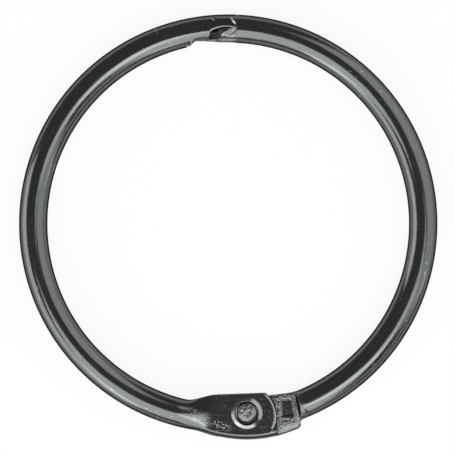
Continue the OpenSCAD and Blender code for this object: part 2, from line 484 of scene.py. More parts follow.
def lathed(name: str, profile: Sequence[Pair], centre: Vector, steps: int = 96) -> bpy.types.Object:
    """Turns a closed profile about an upright axis.

    Args:
        name: the object's name.
        profile: the closed profile as (radius, z), in millimetres.
        centre: a point on the axis, in millimetres.
        steps: faces round the axis.

    Returns:
        The new object.
    """
    sections = []
    for i in range(steps):
        c, s = cos_d(360 * i / steps), sin_d(360 * i / steps)
        sections.append([(centre.x + r * c, centre.y + r * s, z) for r, z in profile])
    return lofted(name, sections, looped=True)


def drill(obj: bpy.types.Object, radius: float) -> None:
    """Cuts a round hole through an object on the rivet's axis."""
    profile = [(0.0, -HOLE_REACH), (radius, -HOLE_REACH), (radius, HOLE_REACH), (0.0, HOLE_REACH)]
    combine(obj, lathed("hole", profile, SIZES.pivot), Cut.TAKE)


def sheet_object(
    name: str,
    outer: Grid,
    inner: Grid,
    kept: Callable[[int, int], bool] = lambda column, row: True,
    closed_rows: tuple[bool, bool] = (True, True),
) -> bpy.types.Object:
    """Makes a sheet with thickness from two grids of points, with its bare edges closed.

    Args:
        name: the object's name.
        outer: columns of points on the sheet's outer face, in millimetres.
        inner: the same columns on its inner face.
        kept: whether the cell that starts at a column and a row is there.
        closed_rows: whether the edges along the first and the last row are closed.

    Returns:
        The new object.
    """
    columns, rows = len(outer), len(outer[0])
    size = columns * rows
    points = [p for column in outer + inner for p in column]
    cells = {(k, j) for k in range(columns - 1) for j in range(rows - 1) if kept(k, j)}
    faces: list[Sequence[int]] = []
    for k, j in sorted(cells):
        a, b, c, d = k * rows + j, (k + 1) * rows + j, (k + 1) * rows + j + 1, k * rows + j + 1
        faces.append((a, b, c, d))
        faces.append((d + size, c + size, b + size, a + size))
        if (k, j - 1) not in cells and (j > 0 or closed_rows[0]):
            faces.append((b, a, a + size, b + size))
        if (k, j + 1) not in cells and (j < rows - 2 or closed_rows[1]):
            faces.append((d, c, c + size, d + size))
        if (k - 1, j) not in cells:
            faces.append((a, d, d + size, a + size))
        if (k + 1, j) not in cells:
            faces.append((c, b, b + size, c + size))
    obj = mesh_object(name, points, faces)
    with edited(obj.data) as bm:
        loose = [v for v in bm.verts if not v.link_faces]
        bmesh.ops.delete(bm, geom=loose, context="VERTS")
    return obj


def dress(piece: bpy.types.Object, material: bpy.types.Material, crisp: float = 34.0) -> None:
    """Gives a finished piece its one material and smooth shading.

    Args:
        piece: the piece.
        material: its finish.
        crisp: edges sharper than this many degrees stay sharp.
    """
    piece.data.materials.clear()
    piece.data.materials.append(material)
    for polygon in piece.data.polygons:
        polygon.material_index = 0
    piece.data.shade_smooth()
    piece.data.set_sharp_from_angle(angle=math.radians(crisp))


# ---- Node trees written as expressions


def math_method(operation: str, flipped: bool = False) -> Callable[..., Wire]:
    """Makes a method of Wire that adds one Math node.

    Args:
        operation: what the node works out.
        flipped: whether the other value comes first.

    Returns:
        The method.
    """

    def method(self: Wire, *others: Wire | float) -> Wire:
        """Adds the node and returns its result."""
        values = (*others, self) if flipped else (self, *others)
        return self.tree.node("ShaderNodeMath", {"operation": operation}, dict(enumerate(values)))

    return method


class Wire:
    """A socket in a node tree, on which arithmetic adds Math nodes.

    Angles are in radians. y.direction(x) is the angle of the point (x, y), at_least and at_most
    give the greater and the lesser of two values, and a.below(b) is 1 where a is below b.
    """

    __add__ = __radd__ = math_method("ADD")
    __mul__ = __rmul__ = math_method("MULTIPLY")
    __sub__ = math_method("SUBTRACT")
    __rsub__ = math_method("SUBTRACT", flipped=True)
    __truediv__ = math_method("DIVIDE")
    root = math_method("SQRT")
    sine = math_method("SINE")
    cosine = math_method("COSINE")
    direction = math_method("ARCTAN2")
    at_least = math_method("MAXIMUM")
    at_most = math_method("MINIMUM")
    below = math_method("LESS_THAN")

    def __init__(self, tree: Tree, socket: bpy.types.NodeSocket) -> None:
        """Wraps a socket of a tree."""
        self.tree = tree
        self.socket = socket

    def __neg__(self) -> Wire:
        """Negative."""
        return self * -1.0

    def step(self, low: float, high: float) -> Wire:
        """Rises smoothly from 0 at low to 1 at high."""
        inputs = {"Value": self, "From Min": low, "From Max": high, "To Min": 0.0, "To Max": 1.0}
        return self.tree.node("ShaderNodeMapRange", {"interpolation_type": "SMOOTHSTEP"}, inputs)


class Tree:
    """A node tree with one method that adds any node."""

    def __init__(self, tree: bpy.types.NodeTree) -> None:
        """Wraps a node tree."""
        self.tree = tree

    def feed(self, made: bpy.types.Node, inputs: dict[str | int, object]) -> None:
        """Feeds a node's sockets.

        Args:
            made: the node.
            inputs: a value or a Wire for each socket, by name or number.
        """
        for key, value in inputs.items():
            if isinstance(value, Wire):
                self.tree.links.new(value.socket, made.inputs[key])
            else:
                made.inputs[key].default_value = value

    def node(
        self,
        kind: str,
        settings: dict[str, object] | None = None,
        inputs: dict[str | int, object] | None = None,
        output: str | int = 0,
    ) -> Wire:
        """Adds a node, sets it up and feeds its sockets.

        Args:
            kind: the node's type.
            settings: its own settings, set first.
            inputs: a value or a Wire for each socket, by name or number.
            output: the output that the returned Wire holds.

        Returns:
            A Wire for that output.
        """
        made = self.tree.nodes.new(kind)
        for key, value in (settings or {}).items():
            setattr(made, key, value)
        self.feed(made, inputs or {})
        return Wire(self, made.outputs[output])

    def split(self, vector: Wire) -> tuple[Wire, Wire, Wire]:
        """The X, Y and Z of a vector."""
        parts = self.node("ShaderNodeSeparateXYZ", None, {0: vector}).socket.node
        return tuple(Wire(self, out) for out in parts.outputs)

    def vector(self, x: Wire | float, y: Wire | float, z: Wire | float) -> Wire:
        """A vector from three numbers."""
        return self.node("ShaderNodeCombineXYZ", None, {0: x, 1: y, 2: z})

    def grain(self, place: Wire, scale: float, detail: float, rough: float) -> Wire:
        """Noise between 0 and 1 at a place.

        Args:
            place: the vector that the noise is read at.
            scale: how fine it is.
            detail: how many finer layers it has.
            rough: how strong those layers are.

        Returns:
            The noise.
        """
        inputs = {"Vector": place, "Scale": scale, "Detail": detail, "Roughness": rough}
        return self.node("ShaderNodeTexNoise", {"noise_dimensions": "3D"}, inputs)

    def bump(self, height: Wire, strength: float) -> Wire:
        """A normal bent by a height."""
        inputs = {"Strength": strength, "Distance": BUMP_DEPTH, "Height": height}
        return self.node("ShaderNodeBump", None, inputs)

    def colour_between(
        self, t: Wire, a: Wire | Sequence[float], b: Wire | Sequence[float]
    ) -> Wire:
        """Mixes two colours.

        Args:
            t: how far the result is on its way from the first to the second.
            a: the first colour.
            b: the second colour.

        Returns:
            The mixed colour.
        """
        first, second = (colour if isinstance(colour, Wire) else (*colour, 1.0) for colour in (a, b))
        inputs = {0: t, 6: first, 7: second}
        return self.node("ShaderNodeMix", {"data_type": "RGBA"}, inputs, output=2)


# ---- Finishes


def metal(name: str, pattern: Callable[[Tree], dict[str | int, object]]) -> bpy.types.Material:
    """Makes a metal material.

    Args:
        name: the material's name.
        pattern: says what feeds the sockets of its shader, given its node tree.

    Returns:
        The material.
    """
    material = bpy.data.materials.new(name)
    material.use_nodes = True
    tree = Tree(material.node_tree)
    shader = material.node_tree.nodes["Principled BSDF"]
    tree.feed(shader, {"Metallic": 1.0, **pattern(tree)})
    return material


@dataclass(frozen=True)
class Patch:
    """A part of the surface that has been marked or that carries a painted highlight, placed as seen
    from the front.

    Args:
        x: its middle, in mm.
        y: its middle, in mm.
        half_l: half its length, in mm.
        half_w: half its width, in mm.
        turn: direction of its length, in degrees.
        square: whether it is oblong rather than oval.
        fade: where it starts and stops fading, as shares of its size.
    """

    x: float
    y: float
    half_l: float
    half_w: float
    turn: float
    square: bool = False
    fade: Pair = (0.75, 1.15)

    def cover(self, spot: tuple[Wire, Wire]) -> Wire:
        """Tells how far a place lies in the patch.

        Args:
            spot: the place as X and Y, in mm.

        Returns:
            1 within the patch, falling to 0 outside.
        """
        right, up = spot[0] - self.x, spot[1] - self.y
        along = (right * cos_d(self.turn) + up * sin_d(self.turn)) / self.half_l
        across = (up * cos_d(self.turn) - right * sin_d(self.turn)) / self.half_w
        along, across = along * along, across * across
        far = along.at_least(across) if self.square else along + across
        return 1.0 - far.root().step(*self.fade)


@dataclass(frozen=True)
class PaintedHighlightArc:
    """A highlight painted along a round edge, placed as seen from the front, in mm.

    Args:
        x: the arc's centre.
        y: the arc's centre.
        radius: its radius.
        half_w: half the width of the painted line.
        from_x: only what lies further right than this is painted.
        from_y: only what lies further up than this is painted.
        core: the share of the line's width that is painted fully.
        fade: how gently the line ends.
    """

    x: float
    y: float
    radius: float
    half_w: float
    from_x: float
    from_y: float
    core: float = 0.4
    fade: float = 0.3

    def cover(self, spot: tuple[Wire, Wire]) -> Wire:
        """Tells how far a place lies on the arc.

        Args:
            spot: the place as X and Y, in mm.

        Returns:
            1 along the arc, falling to 0 at its sides.
        """
        right, up = spot
        aside, above = right - self.x, up - self.y
        off = (aside * aside + above * above).root() - self.radius
        line = 1.0 - (off * off).root().step(self.half_w * self.core, self.half_w)
        inside = right.step(self.from_x - self.fade, self.from_x)
        return line * inside * up.step(self.from_y - self.fade, self.from_y)


@dataclass(frozen=True)
class DarkPlating:
    """Dark nickel plating over rolled steel, with fine scratches along the tube and highlights painted
    on some edges and faces.

    Args:
        base: colour of the clean plating.
        worn_and_highlight: colour where the plating has rubbed thin, and of the painted highlights.
        bare_and_glint: colour of the steel where the plating has chipped off, which also paints the
            burrs' highlights.
        smooth: roughness of the clean plating.
        streaks: how much the scratches roughen it.
        fine: fineness of the scratches, across the tube and along it.
        broad: fineness of the broad streaks, likewise.
        specks: fineness of the specks, likewise.
        lumps: fineness of the lumps.
        slants: fineness of the slanting nicks, as X and Y shares of each direction, and Z.
        scratch_at: levels of the grain between which a scratch begins.
        speck_at: the same for a speck.
        streak_at: the same for the streaks that hold specks.
        nick_at: the same for a nick in a scuffed place.
        chip_and_glint_at: the same for the ragged edge of a chip, whose bare steel also paints a
            burr's highlight.
        lump_at: the same for the lumps that wear in the crushed face.
        front: height over which the front begins, in mm.
        raised: heights over which the tube rises above the blade, in mm.
        beside: places in X over which the blade begins, in mm.
        crush_wear: how much the crushed face of the blade is worn.
        chips_and_glints: places on the burrs where the plating has come off, painted bright to stand
            in for the burrs' highlights as well.
        scuffs: places with specks and short scratches.
        painted_highlights: highlights painted on edges and faces: the rounded end of a cheek, the
            collar round the rivet, and faces and the cut edge about the mouth.
        hammered: the crushed face of the blade.
        spared: the smooth tool mark in that face.
    """

    base: Point = (0.130, 0.137, 0.137)
    worn_and_highlight: Point = (0.38, 0.39, 0.385)
    bare_and_glint: Point = (0.60, 0.61, 0.60)
    smooth: float = 0.10
    streaks: float = 0.16
    fine: Pair = (9000.0, 260.0)
    broad: Pair = (1500.0, 90.0)
    specks: Pair = (3600.0, 1500.0)
    lumps: float = 2300.0
    slants: tuple[Pair, Pair, float] = ((3700.0, -1700.0), (3400.0, 7400.0), 5200.0)
    scratch_at: Pair = (0.62, 0.74)
    speck_at: Pair = (0.70, 0.76)
    streak_at: Pair = (0.45, 0.6)
    nick_at: Pair = (0.70, 0.75)
    chip_and_glint_at: Pair = (0.55, 0.85)
    lump_at: Pair = (0.45, 0.7)
    front: float = 0.3
    raised: Pair = (0.9, 1.3)
    beside: Pair = (7.2, 7.6)
    crush_wear: float = 0.28
    # Bare chips on the two burrs by the mouth, painted bright so that they also stand in for the
    # burrs' highlights.
    chips_and_glints: tuple[Patch, ...] = (
        Patch(0.65, 28.42, 0.6, 0.15, -59.0), Patch(-2.14, 28.55, 0.3, 0.09, -35.0),
    )
    scuffs: tuple[Patch, ...] = (
        Patch(-4.0, -27.55, 1.5, 0.6, -33.0), Patch(-1.0, -28.3, 1.9, 0.6, -12.0),
        Patch(-4.6, -26.3, 1.2, 0.25, -2.0),
    )
    # Painted highlights: the bright line on the rounded end of the cheek, the bright collar round the
    # rivet, and light faces and the cut edge about the mouth.
    painted_highlights: tuple[Patch | PaintedHighlightArc, ...] = (
        PaintedHighlightArc(2.65, -27.07, 4.0, 0.2, 5.4, -29.0), PaintedHighlightArc(2.61, -26.57, 1.9, 0.34, -9.0, -40.0),
        Patch(-0.1, 25.95, 1.35, 0.52, -3.0), Patch(-5.45, 25.0, 0.8, 0.22, 38.0),
        Patch(-1.5, 26.65, 0.95, 0.5, 10.0),
    )
    hammered: Patch = Patch(8.65, -26.0, 2.6, 2.2, -72.4, True)
    spared: Patch = Patch(8.3, -25.85, 1.3, 0.85, -86.4, True)

    def material(self) -> bpy.types.Material:
        """Builds the material, its pattern following the tube by Object coordinates."""
        return metal("dark_plating", self._pattern)

    @staticmethod
    def _spread(patches: Sequence[Patch | PaintedHighlightArc], spot: tuple[Wire, Wire]) -> Wire:
        """Tells how far a place lies in any of some patches.

        Args:
            patches: the patches.
            spot: the place as X and Y, in mm.

        Returns:
            1 within any of them, falling to 0 outside.
        """
        total, *others = [patch.cover(spot) for patch in patches]
        for cover in others:
            total = total.at_least(cover)
        return total

    def _crushed(self, spot: tuple[Wire, Wire], height: Wire) -> Wire:
        """Tells how far a place lies in the crushed face of the blade.

        Args:
            spot: the place as X and Y, in mm.
            height: its Z, in mm.

        Returns:
            1 within that face, falling to 0 outside.
        """
        low = 1.0 - (height * height).root().step(*self.raised)
        face = self.hammered.cover(spot) * (1.0 - self.spared.cover(spot))
        return face * (spot[0].step(*self.beside) + low).at_most(1.0)

    def _pattern(self, tree: Tree) -> dict[str | int, object]:
        """Says what feeds the sockets of the metal's shader.

        Args:
            tree: the material's node tree.

        Returns:
            A value or a Wire for each socket.
        """
        place = tree.node("ShaderNodeTexCoord", output="Object")
        x, y, z = tree.split(place)
        turn, ring_r = SIZES.joint_angle, SIZES.ring_r * MM
        ahead = x * cos_d(turn) + y * sin_d(turn)
        aside = y * cos_d(turn) - x * sin_d(turn)
        along = (-aside).direction(-ahead) * ring_r
        out = (x * x + y * y).root() - ring_r

        def drawn(across: float, length: float, detail: float, rough: float) -> Wire:
            """Grain drawn out along the tube."""
            stretched = tree.vector(out * across, z * across, along * length)
            return tree.grain(stretched, 1.0, detail, rough)

        (right_x, right_y), (up_x, up_y), deep = self.slants
        slanted = tree.vector(x * right_x + y * right_y, x * up_x + y * up_y, z * deep)
        fine, broad = drawn(*self.fine, 3.0, 0.6), drawn(*self.broad, 2.0, 0.5)
        lumps = tree.grain(place, self.lumps, 2.0, 0.6)
        nicks = tree.grain(slanted, 1.0, 1.0, 0.4)
        spot, height = (x / MM, y / MM), z / MM
        front = height.step(0.0, self.front)
        scratched = fine.step(*self.scratch_at)
        speckled = drawn(*self.specks, 1.0, 0.5).step(*self.speck_at) * broad.step(*self.streak_at)
        # Painted highlights, mottled by the lumps.
        painted_highlights = self._spread(self.painted_highlights, spot) * (lumps * 0.6 + 0.35)
        scuffed = self._spread(self.scuffs, spot) * front
        nicked = (nicks + scuffed * 0.10).step(*self.nick_at) * scuffed
        # Chips of bare steel on the burrs, which also paint the burrs' highlights.
        chipped_and_glint = (self._spread(self.chips_and_glints, spot) + lumps * 0.4).step(*self.chip_and_glint_at) * front
        crushed = self._crushed(spot, height)
        # The crushed face's worn lumps and the painted highlights both move the plating towards the
        # worn and highlight colour.
        dulled_and_highlit = crushed * lumps.step(*self.lump_at) * self.crush_wear + painted_highlights
        wear_and_highlight = (scratched * 0.35 + speckled * 0.8 + dulled_and_highlit).at_most(1.0)
        gone_and_glint = (nicked * 0.8 + chipped_and_glint).at_most(1.0)
        plated = tree.colour_between(wear_and_highlight, self.base, self.worn_and_highlight)
        relief = fine * 0.6 + broad * 0.8 - speckled * 0.4 + crushed * lumps * 9.0 - nicked * 1.5
        rough = scratched * self.streaks + broad * 0.06 + self.smooth + gone_and_glint * 0.3 + crushed * 0.12
        return {
            "Specular Tint": (0.0, 0.0, 0.0, 1.0),
            "Base Color": tree.colour_between(gone_and_glint, plated, self.bare_and_glint),
            "Roughness": rough,
            "Normal": tree.bump(relief, 0.45),
        }


@dataclass(frozen=True)
class PeenedSteel:
    """The rivet's worn and hammered metal.

    Args:
        base: colour in the hollows.
        bright: colour on the rubbed high spots.
    """

    base: Point = (0.125, 0.127, 0.127)
    bright: Point = (0.22, 0.223, 0.222)

    def material(self) -> bpy.types.Material:
        """Builds the material."""
        return metal("peened_steel", self._pattern)

    def _pattern(self, tree: Tree) -> dict[str | int, object]:
        """Says what feeds the sockets of the metal's shader.

        Args:
            tree: the material's node tree.

        Returns:
            A Wire for each socket.
        """
        place = tree.node("ShaderNodeTexCoord", output="Object")
        lumps, pits = tree.grain(place, 1500.0, 3.0, 0.6), tree.grain(place, 4500.0, 2.0, 0.6)
        return {
            "Base Color": tree.colour_between(lumps.step(0.35, 0.65), self.base, self.bright),
            "Roughness": pits * 0.2 + 0.28,
            "Normal": tree.bump(lumps * 0.7 + pits * 0.3, 0.5),
        }


# ---- The rolled tube


@dataclass
class RolledTube:
    """A length of the rolled tube, made by a Geometry Nodes tree.

    Its section is a ring-shaped loop with the seam left open: the first half of the loop's
    points runs round the outside and the second half back along the bore.

    Args:
        sizes: the ring's sizes.
        columns: points round each face of the sheet.
        rows_per_degree: points along the ring, for each degree.
    """

    sizes: RingSizes = SIZES
    columns: int = 89
    rows_per_degree: float = 1.1

    def turns(self) -> list[float]:
        """Angles of the columns round the tube, from the seam and back to it."""
        return stepped(self.sizes.seam_turn, 360 - self.sizes.seam_turn, self.columns - 1)

    def column_at(self, turn: float) -> int:
        """The column on the front of the tube that is nearest to an angle round it."""
        turns = self.turns()
        return min(range(len(turns) // 2), key=lambda k: abs(turns[k] - turn))

    def _tree(self, material: bpy.types.Material) -> bpy.types.NodeTree:
        """Builds the tree that sweeps the section round the ring.

        Args:
            material: the finish.

        Returns:
            The tree.
        """
        group = bpy.data.node_groups.new("rolled_tube", "GeometryNodeTree")
        face = group.interface
        face.new_socket("Geometry", in_out="INPUT", socket_type="NodeSocketGeometry")
        for label in ("Ring Radius", "Tube Radius", "Bore Radius", "Seam Turn", "Start", "Sweep"):
            face.new_socket(label, in_out="INPUT", socket_type="NodeSocketFloat")
        face.new_socket("Rows", in_out="INPUT", socket_type="NodeSocketInt")
        face.new_socket("Geometry", in_out="OUTPUT", socket_type="NodeSocketGeometry")
        tree = Tree(group)
        given = group.nodes.new("NodeGroupInput")
        value = {out.name: Wire(tree, out) for out in given.outputs}
        index = tree.node("GeometryNodeInputIndex")
        last = float(self.columns - 1)
        on_bore = 1.0 - index.below(float(self.columns) - 0.5)
        step = index + on_bore * (float(2 * self.columns - 1) - 2.0 * index)
        turn = value["Seam Turn"] + step / last * (2 * math.pi - 2.0 * value["Seam Turn"])
        radius = value["Tube Radius"] + on_bore * (value["Bore Radius"] - value["Tube Radius"])
        spot = tree.vector(-radius * turn.cosine(), radius * turn.sine(), 0.0)
        circle = {"Resolution": 2 * self.columns}
        loop = tree.node("GeometryNodeCurvePrimitiveCircle", {"mode": "RADIUS"}, circle)
        section = tree.node("GeometryNodeSetPosition", None, {"Geometry": loop, "Position": spot})
        arc = {"Resolution": value["Rows"], "Radius": value["Ring Radius"]}
        arc |= {"Start Angle": value["Start"], "Sweep Angle": value["Sweep"]}
        path = tree.node("GeometryNodeCurveArc", {"mode": "RADIUS"}, arc)
        upright = tree.node("GeometryNodeSetCurveNormal", {"mode": "Z_UP"}, {"Curve": path})
        sweep = {"Curve": upright, "Profile Curve": section}
        swept = tree.node("GeometryNodeCurveToMesh", None, sweep)
        real = tree.node("GeometryNodeRealizeInstances", None, {"Geometry": swept})
        finish = {"Geometry": real, "Material": material}
        dressed = tree.node("GeometryNodeSetMaterial", None, finish)
        tree.feed(group.nodes.new("NodeGroupOutput"), {0: dressed})
        return group

    def build(
        self, name: str, start: float, stop: float, material: bpy.types.Material
    ) -> bpy.types.Object:
        """Sweeps the tube between two angles, its ends left open.

        Args:
            name: the object's name.
            start: first angle, in degrees.
            stop: last angle, in degrees.
            material: the finish.

        Returns:
            The new object, a plain mesh.
        """
        obj = new_object(name, bpy.data.meshes.new(name))
        modifier = obj.modifiers.new("rolled_tube", "NODES")
        modifier.node_group = self._tree(material)
        values = {
            "Ring Radius": self.sizes.ring_r * MM,
            "Tube Radius": self.sizes.tube_r * MM,
            "Bore Radius": self.sizes.bore_r * MM,
            "Seam Turn": math.radians(self.sizes.seam_turn),
            "Start": math.radians(start),
            "Sweep": math.radians(stop - start),
            "Rows": round((stop - start) * self.rows_per_degree),
        }
        for item in modifier.node_group.interface.items_tree:
            if item.in_out == "INPUT" and item.name in values:
                modifier[item.identifier] = values[item.name]
        apply_modifiers(obj)
        return obj


# ---- The left half


@dataclass
class ClosureFrame:
    """Places about the closure, by distance past the joint and height above the centre line.

    Args:
        sizes: the ring's sizes.
        halvings: how many times a search for an angle halves its range.
    """

    sizes: RingSizes = SIZES
    halvings: int = 30

    def place(self, turn: float, s: float, r: float) -> Pair:
        """Finds a point of the tube.

        Args:
            turn: its angle round the tube.
            s: its distance along the ring.
            r: radius of the face of the sheet.

        Returns:
            Its straight distance past the joint, and its height.
        """
        bend = math.radians(self.sizes.along(s))
        reach = self.sizes.ring_r - r * cos_d(turn)
        return reach * math.sin(bend), reach * math.cos(bend) - self.sizes.ring_r

    def turn_where(self, s: float, r: float, level: Callable[[float], float]) -> float:
        """Finds the angle round the tube at which its height reaches a level.

        Args:
            s: distance along the ring.
            r: radius of the face of the sheet.
            level: the height wanted at a straight distance past the joint.

        Returns:
            The angle, between 0 and 180 degrees.
        """
        low, high = 0.0, 180.0
        for _ in range(self.halvings):
            middle = (low + high) / 2
            distance, height = self.place(middle, s, r)
            if height < level(distance):
                low = middle
            else:
                high = middle
        return (low + high) / 2

    def point(self, s: float, height: float, z: float, limit: float | None = None) -> Point:
        """Makes a point from its straight distance and height.

        Args:
            s: straight distance past the joint.
            height: height above the tube's centre line at the joint.
            z: distance in front of the middle plane.
            limit: the radius round the tube's centre line that it is kept inside, if any.

        Returns:
            The point, in millimetres.
        """
        x, y = self.sizes.ring_r + height, s
        off = math.hypot(x, y) - self.sizes.ring_r
        reach = math.hypot(off, z)
        if limit is not None and reach > limit:
            off, z = off * limit / reach, z * limit / reach
        angle = math.degrees(math.atan2(y, x)) + self.sizes.joint_angle
        return polar(self.sizes.ring_r + off, angle, z)


@dataclass(frozen=True)
class Burr:
    """A chip lifted from the front of the tube, running across it on the slant.

    Args:
        s: straight distance of its middle past the joint.
        height: height of its middle above the tube's centre line.
        half_l: half its length.
        width: its width.
        rise: how far it stands up.
        root: how deep it starts below the surface.
        crest: places across it where its foot, its crest and its slope start.
        lean: share of its length that runs along the tube, and across it.
        taper: how bluntly it ends, and how much thinner one end is.
        steps: sections along it.
    """

    s: float
    height: float
    half_l: float
    width: float
    rise: float
    root: float = 0.12
    crest: Point = (-0.18, -0.08, -0.02)
    lean: Pair = (0.49, 0.87)
    taper: Pair = (2.4, 0.25)
    steps: int = 16

    def build(self, frame: ClosureFrame) -> bpy.types.Object:
        """Builds the burr.

        Args:
            frame: finds places about the closure.

        Returns:
            The burr.
        """
        ring_r, tube_r = frame.sizes.ring_r, frame.sizes.tube_r
        (sideways, down), (blunt, thinner) = self.lean, self.taper
        foot, start, end = self.crest
        section = (
            (foot, -self.root), (start, self.rise), (end, self.rise), (self.width, 0.0),
            (self.width, -self.root),
        )
        sections = []
        for u in stepped(-1.0, 1.0, self.steps):
            girth = max(0.02, (1 - abs(u) ** blunt) * (1 - thinner * u))
            loop = []
            for across, up in section:
                place = self.s - sideways * u * self.half_l + down * across * girth
                level = self.height - down * u * self.half_l - sideways * across * girth
                off = math.hypot(ring_r + level, place) - ring_r
                surface = math.sqrt(max(0.0, tube_r**2 - off**2))
                loop.append(frame.point(place, level, surface + (up * girth if up > 0 else up)))
            sections.append(loop)
        return lofted("burr", sections)


@dataclass
class SocketEnd:
    """The free end of the left half, cut away round the mouth that takes the tongue.

    The crimp is a soft dent below the mouth with a deeper punch mark in it, and the flare is
    the lip turned out beside the slanted cut. The crowding says how strongly the columns draw
    together at the mouth's edge, and over what share of the way round.
    """

    tube: RolledTube = field(default_factory=RolledTube)
    closure: ClosureSizes = CLOSURE
    frame: ClosureFrame = field(default_factory=ClosureFrame)
    reach: float = 11.0
    crowding: Pair = (0.75, 0.04)
    slot_lead: float = 2.5
    slot_back: float = 0.2
    slot_rows: int = 30
    edge_round: float = 0.16
    edge_rows: tuple[float, ...] = (0.0, 0.02, 0.05, 0.1)
    end_drops: Pair = (0.12, 0.03)
    crimp_level: float = -1.22
    crimp_slope: float = 0.12
    crimp_w: float = 0.35
    crimp_span: Pair = (5.0, 6.2)
    crimp_depth: Pair = (0.3, 0.26)
    crimp_shares: Pair = (0.5, 0.35)
    crimp_fade: float = 1.6
    punch_back: float = 0.3
    punch_size: Pair = (0.42, 0.3)
    punch_span: Pair = (0.2, 1.3)
    rough: float = 0.08
    rough_grain: tuple[float, ...] = (2.6, 3.1, 0.4, 2.0)
    flare: float = 0.2
    flare_w: float = 0.5
    burrs: tuple[Burr, ...] = (Burr(0.42, 1.06, 0.62, 0.3, 0.24), Burr(3.25, 1.16, 0.3, 0.2, 0.13))

    @property
    def slot_column(self) -> int:
        """The column that follows the edge of the mouth and of the slot."""
        half = math.degrees(math.asin(self.closure.slot_half / self.tube.sizes.tube_r))
        return self.tube.column_at(half + self.slot_lead)

    def _edge(self, s: float, outer: bool) -> float:
        """Finds the sheet's edge.

        Args:
            s: distance along the ring.
            outer: whether it is on the outside of the sheet.

        Returns:
            The edge's angle round the tube.
        """
        r = self.tube.sizes.face_r(outer)
        slot = math.degrees(math.asin(self.closure.slot_half / r))
        if s >= self.closure.slot_stop:
            return slot
        return max(slot, self.frame.turn_where(s, r, self.closure.mouth_level))

    def _turn(self, turn: float, s: float, outer: bool) -> float:
        """Eases a column so that one of them follows the edge.

        Args:
            turn: the column's angle round the plain tube.
            s: distance along the ring.
            outer: whether it is on the outside of the sheet.

        Returns:
            Its angle round the tube here.
        """
        turns = self.tube.turns()
        plain = turns[self.slot_column]
        edge = self._edge(s, outer)
        half = min(turn, 360 - turn)
        if half <= plain:
            bent = mixed(turns[0], edge, share(half, turns[0], plain))
        else:
            x = share(half, plain, 180.0)
            crowd, over = self.crowding
            bent = mixed(edge, 180.0, x * (1 - crowd * math.exp(-x / over)))
        half = mixed(bent, half, eased(s, self.closure.slot_stop + self.slot_back, self.reach))
        return half if turn <= 180 else 360 - half

    def _dents(self, turn: float, s: float, outer: bool) -> Pair:
        """Tells how far the sheet is pressed out of round.

        Args:
            turn: angle round the tube.
            s: distance along the ring.
            outer: whether it is on the outside of the sheet.

        Returns:
            How far it goes out from the centre line, and in towards the middle plane.
        """
        closure, half = self.closure, min(turn, 360 - turn)
        r = self.tube.sizes.face_r(outer)
        height = self.frame.place(turn, s, r)[1]
        along, across, front, back = self.rough_grain
        spot = Vector((s * along, height * across, front if turn < 180 else back))
        rough = self.rough * noise.noise(spot)
        level = self.crimp_level - self.crimp_slope * (s - closure.wall_at) + rough
        crimp = eased(-height, -level, self.crimp_w - level) * (1 - eased(s, *self.crimp_span))
        aside = (s - closure.tooth_at + self.punch_back) / self.punch_size[0]
        punch = math.hypot(aside, (height - closure.tooth_level) / self.punch_size[1])
        soft, deep = self.crimp_shares
        crimp = soft * crimp + deep * (1 - eased(punch + 3 * rough, *self.punch_span))
        inward = crimp * self.crimp_depth[outer] * min(1.0, sin_d(half) * self.crimp_fade)
        edge = math.radians(half - self._edge(min(s, closure.slot_stop - 0.01), outer))
        near = 1 - eased(abs(edge) * r, 0.0, self.flare_w)
        flare = near * bell(s, closure.slot_stop - self.flare_w, self.flare_w)
        return flare * self.flare, inward

    def _shaped(self, turn: float, s: float, outer: bool) -> Point:
        """Makes a point of the sheet with its crimp and flared lip.

        Args:
            turn: the column's angle round the plain tube.
            s: distance along the ring.
            outer: whether it is on the outside of the sheet.

        Returns:
            The point, in millimetres.
        """
        turn = self._turn(turn, s, outer)
        out, inward = self._dents(turn, s, outer)
        r = self.tube.sizes.face_r(outer) + out
        x, y, z = self.tube.sizes.tube_point(r, turn, self.tube.sizes.past_joint(s))
        return x, y, z - inward * (1 if z > 0 else -1)

    def _rows(self) -> list[float]:
        """Spaces the rows along the ring, closer together where the mouth turns.

        Returns:
            Their distances past the joint.
        """
        closure = self.closure
        gap, wall = self.tube.sizes.joint_gap, closure.wall_at
        stops = (
            (gap, 2), (gap + 0.05, 34), (wall - 0.1, 26), (wall + 0.4, 20),
            (closure.cut_end + 0.1, 20), (closure.slot_stop, self.slot_rows), (self.reach, 1),
        )
        rows = []
        for (a, count), (b, _) in zip(stops, stops[1:]):
            rows += stepped(a, b, count)[:-1]
        return rows + [self.reach]

    def build(self) -> bpy.types.Object:
        """Builds the end, from the mouth to where the plain tube takes over.

        Returns:
            The end.
        """
        turns, rows = self.tube.turns(), self._rows()
        first, last = self.slot_column, len(turns) - 2 - self.slot_column
        mouth_rows = sum(s < self.closure.slot_stop - 1e-6 for s in rows)
        outer, inner = (
            [[self._shaped(turn, s, face) for s in rows] for turn in turns] for face in (True, False)
        )

        def press(column: int, row: int, drop: float) -> None:
            """Moves a point of the outer face a share of the way to the inner one."""
            outer[column][row] = between(outer[column][row], inner[column][row], drop)

        for k, beyond in enumerate(self.edge_rows):
            drop = rounded_drop(beyond, self.edge_round) / self.tube.sizes.sheet_t
            for j in range(mouth_rows):
                press(first + k, j, drop)
                press(last + 1 - k, j, drop)
        for j, drop in enumerate(self.end_drops):
            for column in range(first, last + 2):
                press(column, j, drop)

        def kept(column: int, row: int) -> bool:
            """Leaves the mouth and the slot open along the inside of the ring."""
            return row >= mouth_rows or first <= column <= last

        sheet = sheet_object("socket_end", outer, inner, kept, (True, False))
        return joined("socket_end", [sheet, *(burr.build(self.frame) for burr in self.burrs)])


